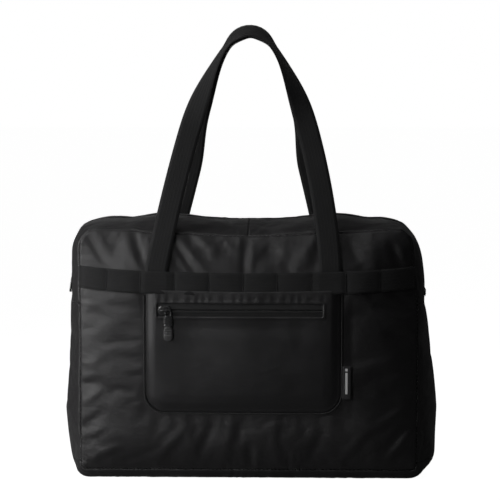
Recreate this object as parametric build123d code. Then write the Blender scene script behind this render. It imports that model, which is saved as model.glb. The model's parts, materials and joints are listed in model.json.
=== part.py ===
"""Packable weekender bag: a soft box with a pocket on its front, two webbing handles and a zip over the top.

Millimetres, +Z up, the front faces -Y. The origin is the middle of the base, on the ground.
The bag is modelled filled, as it stands when packed: the front, back and sides swell out past their seams.
"""

import os
from math import exp

from build123d import *

# ---- Driving dimensions of the bag ----
half_width = 213.0  # bag centre to the side seam of the front and back panels
half_depth = 85.0  # bag centre to the plane of the front and back seams
base_seam_z = 14.0
top_seam_z = 315.0
panel_split_z = 252.0  # seam between upper and lower panels, hidden under the webbing band
zip_end_z = 226.0  # the zip runs down both sides to this height
top_corner_r = 25.0
middle_x = -6.0  # the pocket and the handles' feet sit a little left of the middle
base_corner_r = 8.0
fabric = 1.2
gap = 0.4  # room left between pieces that meet at a seam

# How far the filled panels stand out past their seams, and the flat middle that holds the pocket
panel_swell = 20.0
flat_half_width = 125.0
flat_low_z = 60.0
flat_high_z = 232.0
side_swell = 15.0
side_belly = 9.0
side_belly_z = 80.0
side_belly_height = 60.0
base_drop = 14.0  # how far the base sags below its seams, with a flat middle to stand on
base_flat_half_depth = 60.0

# Webbing
webbing = 28.0
webbing_thick = 1.5
band_sag = 7.5
band_half_length = 211.0
band_near = 3.1  # distances measured outward from the panel's inner face
anchor_near = 1.4
tack_count = 9
tack_pitch = 42.5
tack_width = 2.0
tack_thick = 0.6

# Handles
handle_half_span = 108.0
handle_foot_z = 269.5
handle_top_z = 568.0
handle_foot_y = -105.5
handle_top_y = -13.5
handle_round = 1.17  # exponent that shapes the arch of the handle
handle_twist = 66.0  # degrees the strap turns outward about its own length
twist_start = 0.55  # shares of the height between which the strap turns
twist_end = 0.93
crown_ease = 26.0  # degrees of that turn the strap gives back over its crown

# Pocket
pocket_half_width = 122.5
pocket_low_z = 90.0
pocket_top_z = 237.3
pocket_corner_r = 26.0
pocket_near = 6.3
pocket_thick = 1.0
piping_width = 2.0
pocket_zip_z = 220.0
pocket_zip_left = -112.0
pocket_zip_right = 93.0
window_height = 16.0
label_low_z = 108.0
label_high_z = 150.0
label_reach = 10.0

# Zips
tape_width = 14.0
tape_thick = 0.8
coil_width = 2.7
coil_thick = 1.9
chain_gap = 0.9  # half the slot between the two coils, where the slider's post runs
main_tape_out = 12.6  # distances measured outward from the side seam
main_coil_out = 10.6
strip_edge_y = -13.0  # where the fabric strip stops beside the zip
flap_half_length = 174.5
slider_length = 16.0
slider_width = 11.4
plate_thick = 1.3
main_slider_z = 268.0
pocket_slider_x = -103.0
bridge_length = 11.0
bridge_width = 3.2
bridge_height = 4.8
bridge_wall = 1.8
eye_wall = 1.6
eye_hole_width = 5.5
eye_hole_length = 6.2
puller_width = 11.0
puller_thick = 2.2
link_length = 20.0
grip_length = 18.0
puller_lean = 8.0  # degrees the main puller leans out, resting on the swollen side

FRONT = (0, -1, 0)
FAR = 260.0  # past every outline, for cutting


def ease(distance, flat, edge):
    """1 up to flat, then falling as a parabola to 0 at edge."""
    past = max(0.0, abs(distance) - flat)
    return 1 - (past / (edge - flat)) ** 2


def panel_stand_out(x, z):
    """How far the filled front panel's inner face stands in front of its seam plane."""
    if z > flat_high_z:
        upright = ease(z - flat_high_z, 0, top_seam_z - flat_high_z)
    else:
        upright = ease(flat_low_z - min(z, flat_low_z), 0, flat_low_z - base_seam_z)
    return panel_swell * max(-0.5, ease(x, flat_half_width, half_width)) * max(-0.5, upright)


def base_stand_out(y):
    """How far the base sags past its seams: flat in the middle, rolled up to each seam."""
    return (base_drop - fabric) * ease(y, base_flat_half_depth, half_depth)


def side_stand_out(y, z):
    """How far the filled side stands out past its seams. It takes the base's shape at the bottom."""
    belly = side_belly * exp(-(((z - side_belly_z) / side_belly_height) ** 2))
    round_side = (side_swell + belly) * (1 - (y / half_depth) ** 2)
    low = base_seam_z + base_corner_r
    share = min(1.0, max(0.0, (z - low) / side_belly_height))
    return base_stand_out(y) + (round_side - base_stand_out(y)) * share


def steps(low, high, count):
    return [low + (high - low) * i / (count - 1) for i in range(count)]


def panel_face():
    """The inner face of the filled front panel, a little larger than its outline."""
    margin = 4.0
    rows = []
    for x in steps(-half_width - margin, half_width + margin, 37):
        column = steps(base_seam_z - margin, top_seam_z + margin, 31)
        rows.append([(x, -half_depth - panel_stand_out(x, z), z) for z in column])
    return Face.make_surface_from_array_of_points(rows)


def front_outline(half, low, high, low_r, high_r):
    """A rounded rectangle in the XZ plane, drawn as a closed wire."""
    edges = [
        Line((-half + low_r, 0, low), (half - low_r, 0, low)),
        Line((half, 0, low + low_r), (half, 0, high - high_r)),
        Line((half - high_r, 0, high), (-half + high_r, 0, high)),
        Line((-half, 0, high - high_r), (-half, 0, low + low_r)),
    ]
    corners = [
        (half, low, 1, 1, low_r),
        (half, high, 1, -1, high_r),
        (-half, high, -1, -1, high_r),
        (-half, low, -1, 1, low_r),
    ]
    for x, z, side, up, r in corners:
        middle = (x - side * r * 0.292893, 0, z + up * r * 0.292893)
        edges.append(ThreePointArc((x - side * r, 0, z), middle, (x, 0, z + up * r)))
    return Wire.combine(edges)[0]


def prism(wire):
    """Everything in front of the bag's centre plane inside an XZ outline."""
    return extrude(Face(wire), FAR, dir=FRONT)


def layer(face, near, thick, outline):
    """A sheet that follows the panel face, from near to near + thick outward, cut to an outline."""
    sheet = extrude(Pos(0, -near, 0) * face, thick, dir=FRONT)
    return sheet & outline


def block(x, y, z):
    """A box given by its ranges."""
    size = [high - low for low, high in (x, y, z)]
    middle = [(high + low) / 2 for low, high in (x, y, z)]
    return Pos(*middle) * Box(*size)


def slab(low, high):
    """All of the bag's front half between two heights."""
    return block((-FAR, FAR), (-FAR, 0), (low, high))


def band_edge(z, x):
    """Height of a band edge: it sags in the middle by band_sag."""
    return z + band_sag * (x / half_width) ** 2


def tack_places():
    first = middle_x - tack_pitch * (tack_count - 1) / 2
    return [first + tack_pitch * n for n in range(tack_count)]


def band_outline(left, right, low, high):
    """Part of the sagging band, between two places along it."""
    middle = (left + right) / 2
    low_arc = ThreePointArc(
        (left, 0, band_edge(low, left)),
        (middle, 0, band_edge(low, middle)),
        (right, 0, band_edge(low, right)),
    )
    high_arc = ThreePointArc(
        (right, 0, band_edge(high, right)),
        (middle, 0, band_edge(high, middle)),
        (left, 0, band_edge(high, left)),
    )
    ends = [Line(low_arc @ 1, high_arc @ 0), Line(high_arc @ 1, low_arc @ 0)]
    return Wire.combine([low_arc, high_arc, *ends])[0]


def on_back(shape):
    """The same piece, mirrored on to the back of the bag."""
    return mirror(shape, about=Plane.XZ)


def save(name, *solids):
    shape = solids[0] if len(solids) == 1 else Compound(children=list(solids))
    export_step(shape, f"parts/{name}.step")


# ---- Panels, base and lower sides ----
def make_panels(face):
    shell = layer(
        face,
        0,
        fabric,
        prism(
            front_outline(
                half_width, base_seam_z + gap, top_seam_z - gap, base_corner_r, top_corner_r
            )
        ),
    )
    upper = shell & slab(panel_split_z + gap / 2, FAR * 2)
    lower = shell & slab(0, panel_split_z - gap / 2)
    return upper, lower


def make_base():
    """The base strip: it runs round both lower corners of the front panel to meet the sides."""
    r = base_corner_r
    bend = r * 0.292893
    low, high = base_seam_z, base_seam_z + r
    left, right = -half_width, half_width
    path = Wire.combine(
        [
            ThreePointArc((left, 0, high), (left + bend, 0, low + bend), (left + r, 0, low)),
            Line((left + r, 0, low), (right - r, 0, low)),
            ThreePointArc((right - r, 0, low), (right - bend, 0, low + bend), (right, 0, high)),
        ]
    )[0]
    seam, middle, flat = half_depth - gap, (half_depth + base_flat_half_depth) / 2, base_flat_half_depth
    inner, outer = [], []
    for side in (1, -1):
        spots = [(base_stand_out(y), side * y) for y in (seam, middle, flat)]
        inner.append(ThreePointArc(*spots))
        outer.append(ThreePointArc(*[(out + fabric, y) for out, y in spots]))
    closing = [
        Line(inner[0] @ 1, inner[1] @ 1),
        Line(outer[0] @ 1, outer[1] @ 1),
        Line(inner[0] @ 0, outer[0] @ 0),
        Line(inner[1] @ 0, outer[1] @ 0),
    ]
    profile = Face(Wire.combine([*inner, *outer, *closing])[0])
    start = Plane(origin=(left, 0, high), x_dir=(-1, 0, 0), z_dir=(0, 0, -1))
    return sweep(start * profile, path=path)


def make_side():
    """The right side below the zip, swollen outward."""
    rows = []
    for y in steps(-half_depth, half_depth, 15):
        column = steps(base_seam_z + base_corner_r, zip_end_z, 19)
        rows.append([(half_width + side_stand_out(y, z), y, z) for z in column])
    face = Face.make_surface_from_array_of_points(rows)
    sheet = extrude(face, fabric, dir=(1, 0, 0))
    keep = block(
        (0, FAR),
        (-half_depth + gap, half_depth - gap),
        (base_seam_z + base_corner_r + gap, zip_end_z - gap),
    )
    return sheet & keep


def make_binding():
    """Tape bound round the seam allowance inside the bag, along the whole front seam."""
    inset, thick, deep = 1.0, 1.6, 8.0
    outer = front_outline(
        half_width - inset,
        base_seam_z + inset,
        top_seam_z - inset,
        base_corner_r - inset,
        top_corner_r - inset,
    )
    inset += thick
    inner = front_outline(
        half_width - inset,
        base_seam_z + inset,
        top_seam_z - inset,
        base_corner_r - inset,
        top_corner_r - inset,
    )
    ring = prism(outer) - prism(inner)
    return ring & block((-FAR, FAR), (-half_depth + gap, -half_depth + gap + deep), (0, FAR * 2))


# ---- The zip over the top ----
def mouth_path():
    """From the left end of the zip up the side and round the corner, along the seam line."""
    bend = top_corner_r * 0.292893
    left = -half_width
    corner_x = left + top_corner_r
    corner_z = top_seam_z - top_corner_r
    up = Line((left, 0, zip_end_z + gap), (left, 0, corner_z))
    arc = ThreePointArc(
        (left, 0, corner_z), (left + bend, 0, top_seam_z - bend), (corner_x, 0, top_seam_z)
    )
    over = Line((corner_x, 0, top_seam_z), (-flap_half_length - gap, 0, top_seam_z))
    return Wire.combine([up, arc, over])[0]


def mouth_piece(profile):
    """Sweeps a profile of (outward, forward) points: returns the two sides, and the top between them."""
    start = Plane(origin=(-half_width, 0, zip_end_z + gap), x_dir=(-1, 0, 0), z_dir=(0, 0, 1))
    left = sweep(start * profile, path=mouth_path())
    top = Plane(origin=(-flap_half_length, 0, top_seam_z), x_dir=(0, 0, 1), z_dir=(1, 0, 0))
    flap = extrude(top * profile, 2 * flap_half_length, dir=(1, 0, 0))
    return [left, mirror(left, about=Plane.YZ)], flap


def strip_profile():
    """The fabric strip between the front seam and the zip: an arc that rises outward."""
    seam = half_depth - gap
    edge = -strip_edge_y
    middle = (seam + edge) / 2

    def out(y):
        return side_swell * (1 - (y / half_depth) ** 2)

    lower = ThreePointArc((out(seam), seam), (out(middle), middle), (out(edge), edge))
    upper = ThreePointArc(
        (out(edge) + fabric, edge), (out(middle) + fabric, middle), (out(seam) + fabric, seam)
    )
    sides = [Line(lower @ 1, upper @ 0), Line(upper @ 1, lower @ 0)]
    return Face(Wire.combine([lower, upper, *sides])[0])


def bar_profile(out, thick, near, wide):
    """A flat bar beside the centre line: tape or coil."""
    return Pos(out + thick / 2, near + wide / 2) * Rectangle(thick, wide).face()


def make_stops():
    """A metal stop across both coils at each end of the main zip."""
    reach = chain_gap + coil_width
    out = half_width + main_coil_out
    stop = block((-out - coil_thick, -out), (-reach, reach), (zip_end_z + 1, zip_end_z + 4))
    return [stop, mirror(stop, about=Plane.YZ)]


def make_end_tabs():
    """A small fabric tab sewn over each end of the zip tape."""
    out = half_width + main_tape_out + tape_thick + 0.2
    tab = block((-out - 0.8, -out), (-12.0, 12.0), (zip_end_z + 1, zip_end_z + 11))
    return [tab, mirror(tab, about=Plane.YZ)]


# ---- Sliders and pullers, in their own frame: X along the zip, Z out of the bag ----
def make_slider(lower_top, tape_top):
    """Two plates joined by a post that runs between the coils. lower_top is the coils' underside."""
    plate = fillet(
        Box(slider_length, slider_width, plate_thick).edges().filter_by(Axis.Z), 3.5
    )
    low_z = lower_top - 0.2 - plate_thick / 2
    high_z = tape_top + 0.2 + plate_thick / 2
    upper = Pos(0, 0, high_z) * plate
    upper = fillet(upper.edges().group_by(Axis.Z)[-1], 0.5)
    lower = Pos(0, 0, low_z) * plate
    post_length = 4.0
    post_x = slider_length / 2 - post_length / 2 - 1.0
    post = Pos(post_x, 0, (low_z + high_z) / 2) * Box(post_length, 1.2, high_z - low_z)
    lip = chain_gap + coil_width + 0.3
    lips = [
        block(
            (-slider_length / 2 + 3.5, slider_length / 2 - 3.5),
            tuple(sorted((side * lip, side * (lip + 1.0)))),
            (low_z, lower_top + coil_thick - 0.1),
        )
        for side in (-1, 1)
    ]
    return upper + lower + post + lips[0] + lips[1]


def make_bridge(base_z):
    """The arch that holds the puller, standing on the slider's upper plate."""
    arch = Pos(0, 0, base_z + bridge_height / 2) * Box(bridge_length, bridge_width, bridge_height)
    arch = fillet(arch.edges().filter_by(Axis.Y).group_by(Axis.Z)[-1], 2.2)
    hole_height = bridge_height - 2.0
    hole = Pos(0, 0, base_z + hole_height / 2 - 0.5) * Box(
        bridge_length - 2 * bridge_wall, bridge_width + 2, hole_height + 1.0
    )
    arch = arch - hole
    return fillet(arch.edges().filter_by(Axis.X), 0.5)


def make_link():
    """The upper part of the puller: an eye round the bridge and a tab, pointing along -X from the eye's bar."""
    eye_end = eye_wall / 2 + eye_hole_length
    eye_width = eye_hole_width + 2 * eye_wall
    eye = block(
        (-eye_end - 1.0, eye_wall / 2), (-eye_width / 2, eye_width / 2), (-eye_wall / 2, eye_wall / 2)
    )
    hole = block(
        (-eye_end, -eye_wall / 2), (-eye_hole_width / 2, eye_hole_width / 2), (-2, 2)
    )
    eye = fillet(eye.edges().filter_by(Axis.Z).group_by(Axis.X)[-1], 2.0)
    half_thick = puller_thick / 2
    tab = block(
        (-link_length, -eye_end), (-puller_width / 2, puller_width / 2), (-half_thick, half_thick)
    )
    tab = fillet(tab.edges().filter_by(Axis.Z).group_by(Axis.X)[-1], 2.5)
    tongue = block((-link_length - 6.0, -link_length), (-2.5, 2.5), (-0.5, 0.5))
    return (eye - hole) + tab + tongue


def make_grip():
    """The moulded end of the puller, with a slot for the link's tongue. It starts at its own origin."""
    half_thick = puller_thick / 2 + 0.2
    grip = block(
        (-grip_length, -0.2), (-puller_width / 2, puller_width / 2), (-half_thick, half_thick)
    )
    grip = fillet(grip.edges().filter_by(Axis.Z).group_by(Axis.X)[0], 4.0)
    grip = fillet(grip.edges().group_by(Axis.Z)[-1], 0.6)
    return grip - block((-6.6, 1.0), (-2.7, 2.7), (-0.7, 0.7))


# ---- Handles ----
def foot_shift(z):
    """How far the strap is drawn sideways: its feet sit at middle_x, but its arch stands over the middle."""
    return middle_x * (1 - (z - handle_foot_z) / (handle_top_z - handle_foot_z)) ** 4


def handle_points(count):
    """Centre line of the front handle from its left foot over the top, evenly spaced along it."""
    fine = 400
    rise = handle_top_z - handle_foot_z
    left = []
    for i in range(fine + 1):
        share = 1 - (1 - i / fine) ** 2
        x = -handle_half_span * max(0.0, 1 - share**handle_round) ** 0.5
        y = handle_foot_y + (handle_top_y - handle_foot_y) * share
        left.append(Vector(x, y, handle_foot_z + rise * share))
    line = left + [Vector(-p.X, p.Y, p.Z) for p in reversed(left[:-1])]
    line = [p + Vector(foot_shift(p.Z), 0, 0) for p in line]
    run = [0.0]
    for a, b in zip(line, line[1:]):
        run.append(run[-1] + (b - a).length)
    points, k = [], 0
    for i in range(count):
        goal = run[-1] * i / (count - 1)
        while k < len(run) - 2 and run[k + 1] < goal:
            k += 1
        part = (goal - run[k]) / (run[k + 1] - run[k])
        points.append(line[k] + (line[k + 1] - line[k]) * part)
    return points


def strap_turn(height):
    """Degrees the strap is turned about its own length at a share of the handle's height."""
    rising = min(1.0, max(0.0, (height - twist_start) / (twist_end - twist_start)))
    easing = min(1.0, max(0.0, (height - twist_end) / (1 - twist_end)))
    turned = handle_twist * rising * rising * (3 - 2 * rising)
    return turned - crown_ease * easing * easing * (3 - 2 * easing)


def make_handle():
    """A strap that lies flat on the panel at its feet and turns on its length towards the top."""
    points = handle_points(53)
    lean = Vector(0, handle_top_y - handle_foot_y, handle_top_z - handle_foot_z).normalized()
    face_out = Vector(1, 0, 0).cross(lean)
    sections = []
    for i, p in enumerate(points):
        before = points[max(0, i - 1)]
        after = points[min(len(points) - 1, i + 1)]
        along = (after - before).normalized()
        if i == 0:
            along = lean  # both ends are cut level, just above the band
        if i == len(points) - 1:
            along = -lean
        height = (p.Z - handle_foot_z) / (handle_top_z - handle_foot_z)
        turn = Axis((0, 0, 0), along)
        across = along.cross(face_out).normalized().rotate(turn, -strap_turn(height))
        plane = Plane(origin=p, x_dir=across, z_dir=along)
        sections.append(plane * Rectangle(webbing, webbing_thick).face())
    return loft(sections, ruled=True)


# ---- Pocket ----
def pocket_wire(grow, top_grow=0.0):
    """The pocket's outline: round lower corners, and a top edge that follows the sagging band."""
    half = pocket_half_width + grow
    low = pocket_low_z - grow
    r = pocket_corner_r + grow
    bend = r * 0.292893
    side_top = band_edge(pocket_top_z, half) + top_grow
    edges = [
        Line((-half, 0, side_top), (-half, 0, low + r)),
        ThreePointArc((-half, 0, low + r), (-half + bend, 0, low + bend), (-half + r, 0, low)),
        Line((-half + r, 0, low), (half - r, 0, low)),
        ThreePointArc((half - r, 0, low), (half - bend, 0, low + bend), (half, 0, low + r)),
        Line((half, 0, low + r), (half, 0, side_top)),
        ThreePointArc((half, 0, side_top), (0, 0, pocket_top_z + top_grow), (-half, 0, side_top)),
    ]
    return Pos(middle_x, 0, 0) * Wire.combine(edges)[0]


def across_front(x, z):
    """A prism over a rectangle of the front."""
    return block(x, (-FAR, 0), z)


def make_pocket(face):
    window = across_front(
        (pocket_zip_left, pocket_zip_right),
        (pocket_zip_z - window_height / 2, pocket_zip_z + window_height / 2),
    )
    panel = layer(face, pocket_near, pocket_thick, prism(pocket_wire(0))) - window
    ring = prism(pocket_wire(gap + piping_width)) - prism(pocket_wire(gap, 10.0))
    piping = layer(face, fabric + 0.2, pocket_near + pocket_thick - fabric, ring)
    return panel, piping & slab(0, pocket_top_z)


def make_pocket_zip(face):
    reach = 8.0
    ends = (pocket_zip_left - reach, pocket_zip_right + reach)
    chain = (pocket_zip_left + 1.0, pocket_zip_right - 1.0)
    tape_near = pocket_near - tape_thick - 0.2
    coil_near = tape_near - coil_thick - 0.1
    made = {}
    centre = pocket_zip_z
    for name, side in (("upper", 1), ("lower", -1)):
        tape = sorted((centre + side * chain_gap, centre + side * tape_width * 0.8))
        coil = sorted((centre + side * chain_gap, centre + side * (chain_gap + coil_width)))
        made[f"pocket_zip_tape_{name}"] = layer(
            face, tape_near, tape_thick, across_front(ends, tuple(tape))
        )
        made[f"pocket_zip_coil_{name}"] = layer(
            face, coil_near, coil_thick, across_front(chain, tuple(coil))
        )
    tall = (centre - chain_gap - coil_width, centre + chain_gap + coil_width)
    stops = [
        layer(face, coil_near, coil_thick, across_front(span, tall))
        for span in ((chain[0] - 3.4, chain[0] - 0.4), (chain[1] + 0.4, chain[1] + 3.4))
    ]
    return made, stops, coil_near, tape_near + tape_thick


def main():
    os.makedirs("parts", exist_ok=True)
    face = panel_face()

    upper, lower = make_panels(face)
    save("front_panel_upper", upper)
    save("front_panel_lower", lower)
    save("back_panel_upper", on_back(upper))
    save("back_panel_lower", on_back(lower))
    save("base_panel", make_base())
    side = make_side()
    save("side_gusset_right", side)
    save("side_gusset_left", mirror(side, about=Plane.YZ))
    binding = make_binding()
    save("seam_binding_front", binding)
    save("seam_binding_back", on_back(binding))

    mouth = {
        "zip_gusset": strip_profile(),
        "main_zip_tape": bar_profile(main_tape_out, tape_thick, chain_gap, tape_width + 6.0),
        "main_zip_coil": bar_profile(main_coil_out, coil_thick, chain_gap, coil_width),
    }
    for name, profile in mouth.items():
        sides, top = mouth_piece(profile)
        if name == "main_zip_coil":
            above_stop = block((-FAR, FAR), (-FAR, FAR), (zip_end_z + 4.4, FAR * 2))
            sides = [s & above_stop for s in sides]
        save(f"{name}_front_sides", *sides)
        save(f"{name}_front_top", top)
        save(f"{name}_back_sides", *[on_back(s) for s in sides])
        save(f"{name}_back_top", on_back(top))
    save("main_zip_stops", *make_stops())
    save("zip_end_tabs", *make_end_tabs())

    # Webbing band, the thread tacks that hold it in loops, and the strap ends sewn under it
    low, high = panel_split_z - webbing / 2, panel_split_z + webbing / 2
    band = layer(
        face,
        band_near,
        webbing_thick,
        prism(band_outline(-band_half_length, band_half_length, low, high)),
    )
    tacks = [
        layer(
            face,
            band_near + webbing_thick + 0.05,
            tack_thick,
            prism(band_outline(x - tack_width / 2, x + tack_width / 2, low + 1, high - 1)),
        )
        for x in tack_places()
    ]
    anchors = [
        layer(
            face,
            anchor_near,
            webbing_thick,
            prism(band_outline(x - webbing / 2, x + webbing / 2, low + 2, high)),
        )
        for x in (middle_x - handle_half_span, middle_x + handle_half_span)
    ]
    handle = make_handle()
    for end, place in (("front", lambda s: s), ("back", on_back)):
        save(f"band_{end}", place(band))
        save(f"band_tacks_{end}", *[place(t) for t in tacks])
        save(f"handle_anchors_{end}", *[place(a) for a in anchors])
        save(f"handle_{end}", place(handle))

    pocket, piping = make_pocket(face)
    save("pocket_panel", pocket)
    save("pocket_piping", piping)
    zip_pieces, stops, coil_near, tape_far = make_pocket_zip(face)
    for name, shape in zip_pieces.items():
        save(name, shape)
    save("pocket_zip_stops", *stops)
    label_left = middle_x + pocket_half_width + piping_width + 2 * gap
    label_place = across_front((label_left, label_left + label_reach), (label_low_z, label_high_z))
    label = layer(face, fabric + gap, 1.0, label_place)
    save("label_flag", label)

    # Pocket slider: zip direction +X stays +X, outward becomes -Y
    front_y = -half_depth - panel_swell
    to_pocket = Plane(
        origin=(pocket_slider_x, front_y, pocket_zip_z), x_dir=(1, 0, 0), z_dir=(0, -1, 0)
    )
    plate_top = tape_far + 0.2 + plate_thick
    save("pocket_slider_body", to_pocket * make_slider(coil_near, tape_far))
    save("pocket_slider_bridge", to_pocket * make_bridge(plate_top + 0.05))
    # The puller hangs from the bridge's right leg, square to the zip
    leg_x = bridge_length / 2 - bridge_wall / 2
    hang = Plane(
        origin=(
            pocket_slider_x + leg_x,
            front_y - plate_top - 1.4,
            pocket_zip_z + bridge_width / 2 + 0.3 + eye_wall / 2,
        ),
        x_dir=(0, 0, 1),
        z_dir=(0, -1, 0),
    )
    link, grip = make_link(), make_grip()
    save("pocket_puller_link", hang * link)
    save("pocket_puller_grip", hang * (Pos(-link_length, 0, 0) * grip))

    # Main slider, on the left side: zip direction +Z, outward becomes -X
    to_side = Plane(origin=(-half_width, 0, main_slider_z), x_dir=(0, 0, 1), z_dir=(-1, 0, 0))
    plate_top = main_tape_out + tape_thick + 0.2 + plate_thick
    save("main_slider_body", to_side * make_slider(main_coil_out, main_tape_out + tape_thick))
    save("main_slider_bridge", to_side * make_bridge(plate_top + 0.05))
    pivot = to_side * Pos(0, 0, plate_top + 1.4)
    pivot = pivot * Rot(0, puller_lean, 0)
    save("main_puller_link", pivot * link)
    save("main_puller_grip", pivot * (Pos(-link_length, 0, 0) * grip))


main()
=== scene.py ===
"""Looks of a packable nylon weekender bag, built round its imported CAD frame.

Lengths are in millimetres in this script and become metres when a mesh is made. +Z is up, the front faces -Y.
The shell is one closed mesh that is filled by a cloth simulation, then cut along its seams into its panels.
"""

import json
import math

import bmesh
import bpy
import numpy as np
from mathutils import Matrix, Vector, noise
from mathutils.bvhtree import BVHTree
from mathutils.kdtree import KDTree


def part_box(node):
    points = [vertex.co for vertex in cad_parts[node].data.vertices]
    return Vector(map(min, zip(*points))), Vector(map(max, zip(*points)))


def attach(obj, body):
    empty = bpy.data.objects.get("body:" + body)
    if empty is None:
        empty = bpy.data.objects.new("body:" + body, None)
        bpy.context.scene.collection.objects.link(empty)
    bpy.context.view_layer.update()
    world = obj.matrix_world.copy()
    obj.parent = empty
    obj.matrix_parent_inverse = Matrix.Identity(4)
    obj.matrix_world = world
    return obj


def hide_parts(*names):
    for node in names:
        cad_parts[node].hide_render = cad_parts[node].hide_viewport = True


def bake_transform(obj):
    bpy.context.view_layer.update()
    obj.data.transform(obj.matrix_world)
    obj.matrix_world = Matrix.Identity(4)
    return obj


MM = 0.001

# ---- The bag's own dimensions ----
HALF_W, HALF_D = 213.0, 85.0
BASE_Z, TOP_Z = 14.0, 315.0
SPLIT_Z, ZIP_END_Z, BASE_END_Z = 252.0, 226.0, 26.0
TOP_R, BASE_R = 22.0, 8.0
MIDDLE_X = -6.0  # the pocket and the handles' feet sit a little left of the middle
FABRIC = 1.0
HEM, HEM_GAP = 8.0, 2.2  # seam allowance of the strips, and its distance behind the panel
COLUMNS, ROWS, DEPTH_ROWS = 86, 60, 34  # the shell's grid
SEAM_GROOVE, GATHER, GATHER_PITCH = 2.4, 0.75, 17.0  # how thread draws the nylon in along a seam

# Cloth simulation: how firmly each region is held, its length, and how much of its movement is kept
HOLD_STILL, HOLD_POCKET, HOLD_SEAM, HOLD_BAND, HOLD_LOOSE = 1.0, 0.9, 0.75, 0.5, 0.015
FILL_FRAMES = 26
FILL_SHARE, FILL_CAP = 0.55, 8.0
FIRM, FIRM_SHARE = 0.6, 0.3  # points held more than this move by this share again

STRIP_EDGE = 10.0  # the fabric beside the zip stops this far from the middle
FRONT_SWELL = 20.0
FRONT_TUCK = 0.22  # share of the swell that is gone towards the base
ZIP_OUT = 13.0  # the zip tape's height above the seam line
ZIP_CORNERS = {-1: 45.0, 1: 60.0}  # radius of the zip's bend over the left and right corner
CHAIN_HALF, COIL_PITCH, TAPE_STEP = 0.9, 1.5, 3.0
MOUTH_HELD, MOUTH_FREE, MOUTH_Z = 0.190, 0.105, 0.32  # metres: where the mouth's halves leave the bag

# Places along z where the filled sides' bellies are given, and how far each side stands out there
BELLY_Z = (0.0, 20.0, 50.0, 85.0, 115.0, 150.0, 180.0, 220.0, 260.0)
BELLY_OUT = {
    -1: (14.0, 17.0, 21.5, 25.0, 20.5, 18.5, 16.5, 17.0, 15.5),
    1: (22.0, 26.5, 26.5, 28.0, 25.0, 21.0, 15.5, 13.0, 13.0),
}
TOP_SAG, TOP_LIFT = 3.0, 5.0  # the top dips in the middle and stands up beside the handles
TOP_LEAN = 6.5  # the right top corner leans in
CORNER_DROP = 7.0  # the zip lies lower over the top corners

# Webbing
WEB, WEB_THICK = 28.0, 1.5
BAND_Z, BAND_SAG = 252.0, 7.5
TACKS = [MIDDLE_X + 42.5 * n for n in range(-4, 5)]
HANDLE_X, FOOT_Y, FOOT_Z, TOP_Y, HANDLE_TOP = 108.0, -105.5, 269.5, -13.5, 568.0
HANDLE_TWIST, CROWN_EASE = 66.0, 26.0  # degrees the strap turns outward, and gives back over its crown
TWIST_START, TWIST_END = 0.55, 0.93  # shares of the handle's height between which it turns
HANDLE_ROUND = 1.17  # exponent that shapes the arch of the handle
BACK_LEAN = (7.5, 10.5)  # how far the back handle's left and right legs lean in, low down

CORD_SIDES = 10  # sides of a round cord

# Pocket
POCKET_HALF, POCKET_LOW, POCKET_TOP, POCKET_R = 122.5, 90.0, 243.0, 26.0
POCKET_OUT, POCKET_THICK = 5.6, 1.1
POCKET_ZIP_Z = 220.0
WINDOW = (-112.0, 93.0, POCKET_ZIP_Z - 7.6, POCKET_ZIP_Z + 7.6)
LABEL_LOW, LABEL_HIGH = 108.0, 150.0

# Studio: the camera sees a pale floor and wall that hardly light the bag
FLOOR_GLOW, WORLD_LIGHT, WORLD_SEEN = 0.985, 0.026, 1.0

FOLD_SHARE = 0.8  # how much of each fold below shows
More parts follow.
